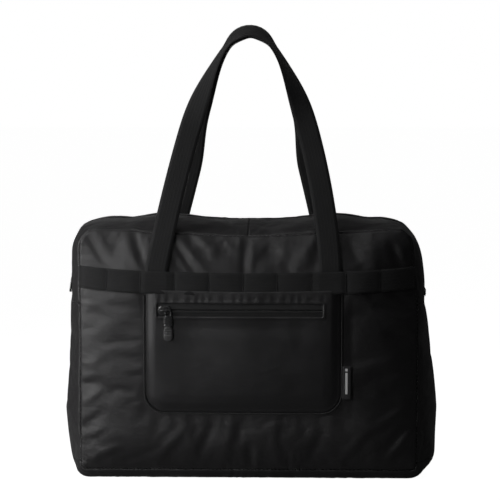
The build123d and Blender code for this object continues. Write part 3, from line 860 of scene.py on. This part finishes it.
def handle_parts(lean_in):
    """Centres and half-width vectors of a whole front handle, with both ends tucked under the band."""
    line = handle_line(150)
    lean = unit(np.array([0.0, TOP_Y - FOOT_Y, HANDLE_TOP - FOOT_Z]))
    face_out = np.cross((1, 0, 0), lean)
    height = (line[:, 2] - FOOT_Z) / (HANDLE_TOP - FOOT_Z)
    arch = np.sin(np.pi * np.clip(height, 0, 1))
    low_down = arch * (1 - smooth((height - 0.4) / 0.26))
    line[:, 0] += np.where(line[:, 0] > 0, -lean_in[1], lean_in[0]) * low_down
    line[:, 1] -= 1.6 * np.sin(3 * np.pi * np.clip(height, 0, 1)) * arch
    along = unit(np.gradient(line, axis=0))
    across = unit(np.cross(along, face_out))
    turn = HANDLE_TWIST * smooth((height - TWIST_START) / (TWIST_END - TWIST_START))
    turn = np.radians(turn - CROWN_EASE * smooth((height - TWIST_END) / (1 - TWIST_END)))
    normal = np.cross(along, across)
    across = across * np.cos(turn)[:, None] - normal * np.sin(turn)[:, None]
    feet = []
    hidden_end = BAND_Z - 11.0
    for z in np.linspace(hidden_end, FOOT_Z - 4.5, 6):
        slip = (FOOT_Z - z) / (FOOT_Z - hidden_end)
        feet.append((-HANDLE_X - 0.5 * slip, FOOT_Y - 0.2 + 1.2 * slip, z))
    left = np.array(feet)
    right = left[::-1] * (-1, 1, 1)
    left[:, 0] += MIDDLE_X
    right[:, 0] += MIDDLE_X
    centres = np.concatenate([left, line, right])
    acrosses = np.concatenate([[across[0]] * len(left), across, [across[-1]] * len(left)])
    return centres, acrosses * WEB / 2


def build_handles():
    for face, sign, lean_in in (("front", 1, (0.0, 0.0)), ("back", -1, BACK_LEAN)):
        centres, acrosses = handle_parts(lean_in)
        if sign < 0:
            centres = centres * (1, -1, 1)
            acrosses = acrosses * (1, -1, 1)
        verts, faces, uv = ribbon(centres, acrosses, WEB_THICK)
        strap = make_object(f"strap_{face}", verts, faces, WEBBING, uv)
        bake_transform(strap)
        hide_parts(f"handle_{face}", f"handle_anchors_{face}")


def surface_y(tree, x, z, face):
    """Depth of the filled shell at a point seen from the front or back."""
    hit = tree.ray_cast(Vector((x, face * 300, z)) * MM, Vector((0, -face, 0)))[0]
    return hit[1] / MM if hit else face * HALF_D


def band_centre_z(x):
    return BAND_Z + BAND_SAG * (x / HALF_W) ** 2


def band_puff(x):
    """The band stands off the panel between its tacks."""
    held = [-HALF_W, *TACKS, HALF_W]
    for a, b in zip(held, held[1:]):
        if a <= x <= b:
            return math.sin(math.pi * (x - a) / (b - a)) ** 0.5
    return 0.0


def build_band(tree, face, name):
    xs = np.linspace(-HALF_W + 0.5, HALF_W - 0.5, 260)
    xs = np.array([settle(x, band_centre_z(x))[0] for x in xs])
    rows = []
    for off in (-12, 0, 12):
        depth = [surface_y(tree, x, band_centre_z(x) + off, face) for x in xs]
        rows.append(moving_mean(depth, 7))
    middle = np.max(np.array(rows) * face, axis=0) * face
    tilt = (rows[2] - rows[0]) / 24.0
    off_strap = np.abs(np.abs(xs - MIDDLE_X) - HANDLE_X)
    handle_gap = np.array([2.6 * float(smooth((26.0 - d) / 14.0)) for d in off_strap])
    puff = np.array([2.2 * band_puff(x) for x in xs])
    out = np.maximum(1.2 + puff, handle_gap + 0.8)
    edge = smooth((np.minimum(xs - xs[0], xs[-1] - xs) - 0.5) / 10.0)
    ys = middle + face * (0.6 + out * edge)
    zs = np.array([band_centre_z(x) + 0.5 * wander(x, size=24.0, seed=8) for x in xs])
    centres = np.stack([xs, ys, zs], 1)
    acrosses = np.stack([np.zeros_like(xs), tilt, np.ones_like(xs)], 1)
    acrosses = unit(acrosses) * WEB / 2 * -face
    verts, faces, uv = ribbon(centres, acrosses, WEB_THICK, steps=10)
    band = make_object(f"webbing_band_{name}", verts, faces, WEBBING, uv)
    finish_piece(band, "bag", f"band_{name}")
    parts = []
    for x in TACKS:
        y = float(np.interp(x, xs, ys)) + face * 0.9
        slope = float(np.interp(x, xs, tilt))
        parts += tack(x, y, band_centre_z(x), slope, face)
    tacks = make_object(f"tack_stitches_{name}", *join_parts(parts), THREAD)
    finish_piece(tacks, "bag", f"band_tacks_{name}")


def stitch(start, end, normal, radius):
    """One thread stitch: a slim bead, high in the middle, with its ends in the cloth."""
    start, end, normal = (np.asarray(v, float) for v in (start, end, normal))
    along = unit(end - start)
    side = unit(np.cross(along, normal))
    verts = [start]
    for share in (0.2, 0.8):
        middle = start + (end - start) * share
        for turn in range(4):
            a = math.pi / 2 * turn
            verts.append(middle + radius * (math.cos(a) * side + math.sin(a) * normal))
    verts.append(end)
    faces = [(0, 2, 1), (0, 3, 2), (0, 4, 3), (0, 1, 4)]
    for n in range(4):
        m = (n + 1) % 4
        faces.append((1 + n, 1 + m, 5 + m, 5 + n))
        faces.append((5 + n, 5 + m, 9))
    return verts, faces


def tack(x, y, z, slope, face):
    """A bar tack: a close zigzag of thread over a narrow upright bar."""
    parts = []
    for n in range(24):
        low = -12 + n
        a = (x - 1.1, y + slope * low, z + low)
        b = (x + 1.1, y + slope * (low + 0.9), z + low + 0.9)
        parts.append(stitch(a, b, (0, face, 0), 0.32))
    return parts


def stitch_run(points, normals, pitch, length, radius):
    """Thread stitches at an even pitch along a line of points."""
    points, normals = np.asarray(points, float), np.asarray(normals, float)
    run = run_along(points)
    marks = np.arange(0, run[-1] - length, pitch)
    starts, ends = sampled(points, run, marks), sampled(points, run, marks + length)
    ways = unit(sampled(normals, run, marks))
    return [stitch(start, end, way, radius) for start, end, way in zip(starts, ends, ways)]


# ---------------------------------------------------------------- the zip over the top
def zip_path(side, out, pitch):
    """Half of the main zip's line, from one end up and over to the middle: (x, z) and outward."""
    r = ZIP_CORNERS[side] - ZIP_OUT + out
    wide, high = HALF_W + out, TOP_Z + out
    points = [(wide, z, 1.0, 0.0) for z in np.linspace(ZIP_END_Z + 0.6, high - r, 60, endpoint=False)]
    for a in np.linspace(0, math.pi / 2, 60, endpoint=False):
        n = (math.cos(a), math.sin(a))
        points.append((wide - r + n[0] * r, high - r + n[1] * r, *n))
    points += [(x, high, 0.0, 1.0) for x in np.linspace(wide - r, 0.0, 120)]
    points = np.array(points) * (side, 1, side, 1)
    run = run_along(points[:, :2])
    goal = np.arange(0, run[-1] + 0.01, pitch)
    goal[-1] = run[-1]
    return sampled(points, run, goal)


def tooth(place, along, side, out, reach):
    """One turn of the coil: a bent wire that comes up, crosses and turns back under."""
    place, along, side, out = (np.asarray(v, float) for v in (place, along, side, out))
    loop = [(0.2, -0.75), (0.5, 0.1), (reach * 0.6, 0.55), (reach, 0.0), (reach * 0.6, -0.6)]
    verts = []
    for s, o in loop:
        for a in (-0.42, 0.42):
            verts.append(place + side * s + out * o + along * a)
            verts.append(place + side * s * 0.86 + out * o * 0.55 + along * a)
    faces = []
    for n in range(len(loop) - 1):
        a, b = 4 * n, 4 * n + 4
        faces += [(a, b, b + 2, a + 2), (a + 1, a + 3, b + 3, b + 1)]
        faces += [(a, a + 1, b + 1, b), (a + 2, b + 2, b + 3, a + 3)]
    end = 4 * (len(loop) - 1)
    faces += [(0, 2, 3, 1), (end, end + 1, end + 3, end + 2)]
    return verts, faces


def build_main_zip():
    profile = [
        (CHAIN_HALF, 0.45), (1.6, 0.6), (3.4, 0.6), (4.0, 0.4), (8.0, 0.4), (13.5, 0.35),
        (13.5, -0.35), (8.0, -0.3), (4.0, -0.3), (1.6, -0.2), (CHAIN_HALF, -0.1),
    ]
    for side, sign in (("left", -1), ("right", 1)):
        tape_line = zip_path(sign, ZIP_OUT, TAPE_STEP)
        coil_line = zip_path(sign, ZIP_OUT - 1.35, COIL_PITCH)
        for face, toward in (("front", -1), ("back", 1)):
            verts, uv = [], []
            for n, (x, z, nx, nz) in enumerate(tape_line):
                for y, out in profile:
                    verts.append((x + nx * out, toward * y, z + nz * out))
                    uv.append((n * TAPE_STEP, y))
            faces = bar_faces(len(profile), len(tape_line))
            tape = make_object(f"main_tape_{face}_{side}", settled(verts), faces, TAPE, uv)
            teeth = []
            for x, z, nx, nz in coil_line[2:]:
                teeth.append(tooth((x, toward * 0.2, z), (-nz, 0, nx), (0, toward, 0), (nx, 0, nz), 3.3))
            verts, faces = join_parts(teeth)
            coil = make_object(f"main_coil_{face}_{side}", settled(verts), faces, COIL)
            over_mouth(tape, face, sign, "main_zip_tape")
            over_mouth(coil, face, sign, "main_zip_coil")


def build_binding():
    """Grosgrain tape over the raw seam edges inside the bag."""
    flat = seam_line()
    along = unit(np.roll(flat, -1, 0) - np.roll(flat, 1, 0))
    inward = np.stack([along[:, 1], -along[:, 0]], 1)
    for face, toward in (("front", 1), ("back", -1)):
        verts, uv = [], []
        run = 0.0
        for n in range(len(flat) + 1):
            x, z = flat[n % len(flat)]
            dx, dz = inward[n % len(flat)]
            wobble = 0.3 * wander(run, toward, size=9.0, seed=12)
            for deep, thick in ((0.8, 0.0), (8.6, 0.0), (9.0, 0.8), (8.6, 1.6), (0.8, 1.6)):
                inset = 2.4 + thick + wobble
                y = toward * (-HALF_D + deep)
                verts.append((x + dx * inset, y, z + dz * inset))
                uv.append((run, deep))
            run += 5.0
        faces = grid_faces(5, len(flat) + 1, wrap=True)
        tape = make_object(f"binding_{face}", verts, faces, BINDING, uv)
        finish_piece(tape, "bag", f"seam_binding_{face}")


# ---------------------------------------------------------------- pocket
def pocket_top(x):
    return POCKET_TOP + BAND_SAG * (x / HALF_W) ** 2


def edge_distance(x, z):
    """Distance from a point of the pocket to its sewn edge, leaving out the top."""
    a = POCKET_HALF - abs(x - MIDDLE_X)
    b = z - POCKET_LOW
    if a < POCKET_R and b < POCKET_R:
        return POCKET_R - math.hypot(POCKET_R - a, POCKET_R - b)
    return min(a, b)


def window_distance(x, z):
    """Distance from a point of the pocket to the edge of its zip opening."""
    left, right, low, high = WINDOW
    a = max(left - x, x - right, 0.0)
    b = max(low - z, z - high, 0.0)
    return math.hypot(a, b)


def pocket_depth(x, z):
    """How far the pocket stands out of the plain front at a point."""
    off = edge_distance(x, z)
    fullness = 0.4 + 0.6 * float(smooth((z - 120.0) / 85.0))
    belly = POCKET_OUT * fullness * float(smooth(off / 14.0)) + 0.8
    hem = 0.5 * math.exp(-(((off - 2.4) / 1.4) ** 2)) - 0.45 * math.exp(-(((off - 0.6) / 0.8) ** 2))
    soft = 1.6 * wander(x, z * 0.6 + x * 0.4, size=70.0, seed=3) + 0.3 * wander(x, z, size=24.0, seed=5)
    to_zip = window_distance(x, z)
    roll = 0.7 * math.exp(-(((to_zip - 1.6) / 1.5) ** 2))
    wave = math.sin(x / 1.9 + 5 * wander(x, size=26.0, seed=9))
    gather = 0.25 * (wave if z > WINDOW[3] else 0.25 * wave) * math.exp(-((to_zip - 5.0) / 4.5) ** 2)
    tired = -1.2 * math.exp(-(((x + 5) / 90.0) ** 2 + ((z - WINDOW[2] + 14) / 9.0) ** 2))
    pillow = 5.0 * math.exp(-(((x - 25.0) / 95.0) ** 2 + ((z - 128.0) / 46.0) ** 2))
    share = float(smooth(off / 25.0))
    return belly + hem + (soft + pillow + tired) * share + (gather + roll) * float(smooth(off / 8.0))


def pocket_y(x, z):
    return front_y(x, z) - pocket_depth(x, z)


def spaced(stops, step):
    """Positions from the first stop to the last that include every stop, about step apart."""
    out = [stops[0]]
    for a, b in zip(stops, stops[1:]):
        count = max(1, round((b - a) / step))
        out += [a + (b - a) * (n + 1) / count for n in range(count)]
    return out


def pocket_place(x, z):
    """Rounds the pocket grid's square lower corners, and lifts its top edge along the sagging band."""
    high = WINDOW[3]
    if z > high:
        return x, z + (pocket_top(x) - POCKET_TOP) * (z - high) / (POCKET_TOP - high)
    r = POCKET_R
    a = abs(x - MIDDLE_X) - (POCKET_HALF - r)
    b = POCKET_LOW + r - z
    if a > 0 and b > 0:
        a, b = round_off(a, b, r)
        return MIDDLE_X + math.copysign(POCKET_HALF - r + a, x - MIDDLE_X), POCKET_LOW + r - b
    return x, z


def build_pocket():
    """The pocket's one sheet of nylon, with its zip opening."""
    left, right, low, high = WINDOW
    first, last = MIDDLE_X - POCKET_HALF, MIDDLE_X + POCKET_HALF
    us = spaced([first, first + 5, left, right, last - 5, last], 1.7)
    vs = spaced([POCKET_LOW, POCKET_LOW + 5, low, high, POCKET_TOP], 1.7)
    verts, faces = [], []
    for z in vs:
        for x in us:
            px, pz = pocket_place(x, z)
            verts.append((px, pocket_y(px, pz), pz))
    wide = len(us)
    for j in range(len(vs) - 1):
        for i in range(wide - 1):
            x, z = (us[i] + us[i + 1]) / 2, (vs[j] + vs[j + 1]) / 2
            if left < x < right and low < z < high:
                continue
            a = j * wide + i
            faces.append((a, a + 1, a + 1 + wide, a + wide))
    panel = make_object("pocket_front", verts, faces, POCKET_NYLON)
    thicken(panel, POCKET_THICK)
    finish_piece(panel, "bag", "pocket_panel")


def pocket_outline(inset, count):
    """Points along the pocket's sewn edge, from its upper left corner round to its upper right."""
    half, low, r = POCKET_HALF - inset, POCKET_LOW + inset, POCKET_R - inset
    line = [(-half, z) for z in np.linspace(POCKET_TOP - 4, low + r, 60, endpoint=False)]
    for a in np.linspace(0, math.pi / 2, 30, endpoint=False):
        line.append((-half + r - r * math.cos(a), low + r - r * math.sin(a)))
    line += [(x, low) for x in np.linspace(-half + r, 0, 60)]
    line += [(-x, z) for x, z in line[-2::-1]]
    line = np.array(line) + (MIDDLE_X, 0.0)
    run = run_along(line)
    return sampled(line, run, np.linspace(0, run[-1], count))


def tube(points, radius, side_hint=(0, 1, 0), closed=False):
    """A round cord through points. closed joins its ends into a ring."""
    points = np.asarray(points, float)
    if closed:
        along = unit(np.roll(points, -1, 0) - np.roll(points, 1, 0))
    else:
        along = unit(np.gradient(points, axis=0))
    side = unit(np.cross(along, side_hint))
    up = np.cross(side, along)
    verts = []
    for p, s, u in zip(points, side, up):
        for n in range(CORD_SIDES):
            a = 2 * math.pi * n / CORD_SIDES
            verts.append(p + radius * (math.cos(a) * s + math.sin(a) * u))
    if not closed:
        return verts, [f[::-1] for f in bar_faces(CORD_SIDES, len(points))]
    faces = [f[::-1] for f in grid_faces(CORD_SIDES, len(points), wrap=True)]
    last = len(verts) - CORD_SIDES
    for n in range(CORD_SIDES):
        m = (n + 1) % CORD_SIDES
        faces.append((last + n, n, m, last + m))
    return verts, faces


def build_pocket_edges():
    """Piping round the pocket and the rows of thread that hold it and its zip."""
    cord = [(x, front_y(x, z) - 1.9, z) for x, z in pocket_outline(-0.5, 420)]
    verts, faces = tube(cord, 0.9)
    uv = [(1.3 * (n // CORD_SIDES), n % CORD_SIDES) for n in range(len(verts))]
    piping = make_object("pocket_edge_piping", verts, faces, BINDING, uv)
    finish_piece(piping, "bag", "pocket_piping")
    lines = [(pocket_outline(3.6, 420), 0.2)]
    left, right, low, high = WINDOW
    grow = 2.6
    for (x0, z0), (x1, z1) in rectangle_sides(left - grow, right + grow, low - grow, high + grow):
        count = int(max(abs(x1 - x0), abs(z1 - z0)) / 2)
        lines.append((zip(np.linspace(x0, x1, count), np.linspace(z0, z1, count)), 0.22))
    parts = []
    for line, radius in lines:
        seam = [(x, pocket_y(x, z) - 0.1, z) for x, z in line]
        parts += stitch_run(seam, [(0, -1, 0)] * len(seam), 3.0, 2.2, radius)
    finish_piece(make_object("pocket_stitching", *join_parts(parts), THREAD), "bag")


def build_pocket_zip():
    """A reversed coil zip: two flat tapes that meet over the hidden coils."""
    left, right = WINDOW[:2]
    base = -HALF_D - FRONT_SWELL
    for name, sign in (("upper", 1), ("lower", -1)):
        xs = np.linspace(left - 5, right + 5, 130)
        profile = [(0.5, 5.3), (0.7, 6.3), (1.3, 6.6), (3.0, 6.6), (3.7, 6.2), (7.0, 6.2), (11.5, 5.6)]
        profile += [(11.5, 5.0), (3.7, 5.4), (0.6, 5.2)]
        verts, uv = [], []
        for x in xs:
            for off, out in profile:
                out += 0.25 * wander(x, off * sign, size=17.0, seed=11)
                bend = 0.35 * wander(x, size=45.0, seed=13)
                verts.append((x, base - out, POCKET_ZIP_Z + sign * off + bend))
                uv.append((x, off))
        tape = make_object(f"pocket_tape_{name}", verts, bar_faces(len(profile), len(xs)), TAPE, uv)
        finish_piece(tape, "bag", f"pocket_zip_tape_{name}")
        teeth = []
        for x in np.arange(left + COIL_PITCH, right - COIL_PITCH, COIL_PITCH):
            place = (x, base - 4.3, POCKET_ZIP_Z + sign * 0.2)
            teeth.append(tooth(place, (1, 0, 0), (0, 0, sign), (0, -1, 0), 3.2))
        coil = make_object(f"pocket_coil_{name}", *join_parts(teeth), COIL)
        finish_piece(coil, "bag", f"pocket_zip_coil_{name}")


def build_label():
    """A folded woven label that stands out of the pocket's right edge."""
    left, wide = MIDDLE_X + POCKET_HALF + 1.4, 10.6
    xs, zs = np.linspace(0, wide, 9), np.linspace(LABEL_LOW, LABEL_HIGH, 24)
    verts, uv = [], []
    for layer in (0, 1):
        for z in zs:
            for x in xs:
                px = left + x
                bow = 1.6 * math.sin(math.pi * x / wide * 0.5) + 0.3 * wander(z, x, size=16.0)
                y = front_y(px, z) - 2.6 - bow - 0.55 * (1 - layer * 2)
                verts.append((px, y, z + 0.02 * x))
                uv.append((LABEL_HIGH - z, x))
    count = len(xs) * len(zs)
    faces = grid_faces(len(xs), len(zs))
    faces += [tuple(i + count for i in f)[::-1] for f in faces]
    wide_n = len(xs)
    rim = [j * wide_n + wide_n - 1 for j in range(len(zs))]
    rim = list(range(wide_n)) + rim[1:] + list(range(count - 2, count - wide_n - 1, -1))
    rim += [j * wide_n for j in range(len(zs) - 2, 0, -1)]
    for a, b in zip(rim, rim[1:] + rim[:1]):
        faces.append((b, a, a + count, b + count))
    finish_piece(make_object("woven_label", verts, faces, LABEL, uv), "bag", "label_flag")


# ---------------------------------------------------------------- sliders and pullers
def bar(stations, sides=24, square=0.55):
    """A soft-edged bar along X. Each station gives x, height, half width and half thickness."""
    verts = []
    for x, z, wide, thick in stations:
        for n in range(sides):
            a = 2 * math.pi * n / sides
            y = squarish(math.cos(a), square) * wide
            verts.append((x, y, z + squarish(math.sin(a), square) * thick))
    return verts, bar_faces(sides, len(stations))


def rounded_ends(low, high, wide, radius, count):
    """Stations along a bar whose ends are round: (x, half width)."""
    out = []
    for t in np.linspace(0, math.pi, count):
        x = (low + high) / 2 - (high - low) / 2 * math.cos(t)
        near = min(x - low, high - x)
        cut = max(0.0, 1 - near / radius)
        out.append((x, wide - radius + radius * math.sqrt(max(0.0, 1 - cut * cut)) + 0.02))
    return out


def slider_parts(top):
    """A slider's crown and its flanges, and the lower plate under the coils. top is the crown's height."""
    crown, plate = [], []
    for x, wide in rounded_ends(-8.0, 8.0, 5.7, 4.6, 26):
        dome = 1 - (x / 8.3) ** 2
        crown.append((x, top - 1.1, wide, 0.5 + 0.8 * math.sqrt(max(0.05, dome))))
        plate.append((x, top - 5.2, wide * 0.92, 0.55))
    post = [(x, top - 3.2, 0.6, 2.4) for x in (3.2, 3.6, 6.2, 6.6)]
    return [bar(crown), bar(plate), bar(post)]


def bridge_parts(top):
    """The arch on the slider that holds the puller."""
    arch = []
    for t in np.linspace(0, math.pi, 30):
        arch.append((-4.6 * squarish(math.cos(t), 0.55), 0.0, top - 0.6 + 4.4 * abs(math.sin(t)) ** 0.6))
    return [tube(arch, 0.95)]


def link_parts():
    """The puller's ring and upper tab, along -X from the ring's axis."""
    ring = []
    for t in np.linspace(0, 2 * math.pi, 40, endpoint=False):
        ring.append((-3.6 + 3.9 * squarish(math.cos(t), 0.7), 3.5 * squarish(math.sin(t), 0.7), 0.0))
    tab = []
    for x, wide in rounded_ends(-20.4, -6.6, 5.4, 2.6, 30):
        groove = 0.35 * math.exp(-(((x + 17.4) / 0.7) ** 2))
        tab.append((x, 0.0, wide, 1.25 - groove))
    return [tube(ring, 0.85, side_hint=(0, 0, 1), closed=True), bar(tab)]


def grip_parts():
    """The moulded end of the puller with grip ribs across it."""
    grip = []
    for x, wide in rounded_ends(-38.0, -20.0, 5.6, 4.6, 64):
        rib = 0.28 * sum(math.exp(-(((x + place) / 0.6) ** 2)) for place in (24.0, 27.0, 30.0))
        grip.append((x, 0.0, wide, 1.45 - rib))
    return [bar(grip)]


def placed(parts, origin, x_way, z_way):
    """Parts drawn in a local frame, moved to where the CAD has them."""
    origin, x_way, z_way = (np.asarray(v, float) for v in (origin, x_way, z_way))
    y_way = np.cross(z_way, x_way)
    verts, faces = join_parts(parts)
    return [origin + x_way * x + y_way * y + z_way * z for x, y, z in verts], faces


def build_sliders():
    """Both sliders and their pullers, each in the place of its CAD solids."""
    pivots = {j["name"]: np.array(j["pos_m"]) / MM for j in frame["joints"] if "pos_m" in j}
    for zip_name, way, out, hinge, lean in (
        ("pocket", (1, 0, 0), (0, -1, 0), "pocket_puller_swing", 0.0),
        ("main", (0, 0, 1), (-1, 0, 0), "main_puller_flip", math.radians(8.0)),
    ):
        low, high = (np.array(c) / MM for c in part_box(f"{zip_name}_slider_body"))
        depth = int(np.argmax(np.abs(out)))
        origin = (low + high) / 2
        origin[depth] = 0.0
        top = -low[depth]
        body = placed(slider_parts(top), origin, way, out)
        arch = placed(bridge_parts(top), origin, way, out)
        hang = np.array((0, 0, 1)) * math.cos(lean) - np.array(out) * math.sin(lean)
        face = np.array((0, 0, 1)) * math.sin(lean) + np.array(out) * math.cos(lean)
        link = placed(link_parts(), pivots[hinge], hang, face)
        grip = placed(grip_parts(), pivots[hinge], hang, face)
        for name, mesh, material, rider, node in (
            ("slider", body, METAL, "slider", "slider_body"),
            ("slider_arch", arch, METAL, "slider", "slider_bridge"),
            ("pull_link", link, METAL, "puller", "puller_link"),
            ("pull_grip", grip, RUBBER, "puller", "puller_grip"),
        ):
            piece = make_object(f"{zip_name}_{name}", *mesh, material)
            finish_piece(piece, f"{zip_name}_{rider}", f"{zip_name}_{node}")


def build_zip_ends():
    """A folded tab of tape over each end of the main zip, sewn down with a box of thread."""
    ribbons, threads, uv_all = [], [], []
    low, high = (np.array(c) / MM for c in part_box("zip_end_tabs"))
    reach = high[0] - 0.4
    middle, half = (low[2] + high[2]) / 2, (high[2] - low[2]) / 2
    for side in (-1, 1):
        ys = np.linspace(-12, 12, 20)
        centres = [(side * (reach + 0.25 - 0.5 * (y / 12) ** 4), y, middle) for y in ys]
        verts, faces, uv = ribbon(centres, [(0, 0, half * side)] * len(ys), 0.8, crown=0.3)
        ribbons.append((verts, faces))
        uv_all += uv
        for ends in rectangle_sides(-10, 10, -half + 1.4, half - 1.4):
            line = [(side * (reach + 0.9), y, middle + z) for y, z in ends]
            threads += stitch_run(line, [(side, 0, 0)] * 2, 2.2, 1.6, 0.24)
    tabs = make_object("zip_end_covers", *join_parts(ribbons), TAPE, uv_all)
    finish_piece(tabs, "bag", "zip_end_tabs")
    finish_piece(make_object("zip_end_stitches", *join_parts(threads), THREAD), "bag")


def dress_stops():
    """The CAD zip stops are shown as they are, with soft edges and black lacquer."""
    for name in ("main_zip_stops", "pocket_zip_stops"):
        node = frame["nodes"][name]
        node.data.materials.clear()
        node.data.materials.append(METAL)
        bevel = node.modifiers.new("edge", "BEVEL")
        bevel.width = 0.0005
        bevel.segments = 3
        bevel.limit_method = "ANGLE"


# ---------------------------------------------------------------- the room
def build_room():
    """A plain pale floor, and a world that looks white but adds little light."""
    mesh = bpy.data.meshes.new("floor")
    mesh.from_pydata([(-9, -4, 0), (9, -4, 0), (9, 30, 0), (-9, 30, 0)], [], [(0, 1, 2, 3)])
    floor = add_object("floor", mesh)
    shade = Shader("floor", (0.25, 0.25, 0.25), 0.9, Emission_Color=(1, 1, 1, 1))
    path = shade.tree.nodes.new("ShaderNodeLightPath")
    glow = shade.math("MULTIPLY", path.outputs["Is Camera Ray"], FLOOR_GLOW)
    shade.set(shade.surface, "Emission Strength", glow)
    floor.data.materials.append(shade.material)
    world = bpy.data.worlds.new("studio")
    bpy.context.scene.world = world
    world.use_nodes = True
    tree = world.node_tree
    tree.nodes.clear()
    path = tree.nodes.new("ShaderNodeLightPath")
    mix = tree.nodes.new("ShaderNodeMixShader")
    out = tree.nodes.new("ShaderNodeOutputWorld")
    for n, strength in enumerate((WORLD_LIGHT, WORLD_SEEN), start=1):
        sky = tree.nodes.new("ShaderNodeBackground")
        sky.inputs[0].default_value = (1, 1, 1, 1)
        sky.inputs[1].default_value = strength
        tree.links.new(sky.outputs[0], mix.inputs[n])
    tree.links.new(path.outputs["Is Camera Ray"], mix.inputs[0])
    tree.links.new(mix.outputs[0], out.inputs[0])


def add_light(name, place, aim, size, power, spread):
    """A rectangular lamp. Places and sizes are in metres, the spread of its beam in degrees."""
    data = bpy.data.lights.new(name, "AREA")
    data.spread = math.radians(spread)
    data.shape = "RECTANGLE"
    data.size, data.size_y = size
    data.energy = power
    lamp = add_object(name, data)
    lamp.visible_camera = False
    lamp.location = place
    lamp.rotation_euler = (Vector(aim) - Vector(place)).to_track_quat("-Z", "Y").to_euler()


def build_camera():
    data = bpy.data.cameras.new("camera")
    camera = add_object("camera", data)
    data.sensor_width = 36
    data.lens = 121.8
    data.clip_end = 50
    around, up, distance = math.radians(1.5), math.radians(5), 2.2
    aim = Vector((0, 0, 0.2855))
    way = Vector((math.sin(around) * math.cos(up), -math.cos(around) * math.cos(up), math.sin(up)))
    camera.location = aim + way * distance
    camera.rotation_euler = way.to_track_quat("Z", "Y").to_euler()
    bpy.context.scene.camera = camera


shell_tree = build_shell()
build_handles()
build_band(shell_tree, -1, "front")
build_band(shell_tree, 1, "back")
build_main_zip()
build_binding()
build_pocket()
build_pocket_edges()
build_pocket_zip()
build_label()
build_sliders()
build_zip_ends()
dress_stops()
build_room()
bpy.context.scene.view_settings.view_transform = "Standard"
add_light("side", (-1.0, -0.4, 0.4), (-0.2, -0.1, 0.2), (0.3, 0.9), 1.65, 90.0)
add_light("top", (-0.8, -0.3, 1.7), (-0.05, 0, 0.35), (0.7, 0.5), 1.5, 110.0)
add_light("front", (-0.75, -1.1, 0.5), (-0.28, -0.1, 0.22), (0.6, 0.6), 0.38, 35.0)
add_light("overhead", (0, -0.6, 1.4), (0, -0.1, 0.3), (0.6, 0.4), 0.16, 70.0)
add_light("back", (0, 1.9, 0.14), (0, 0.1, 0.15), (0.36, 0.2), 1.6, 60.0)
build_camera()
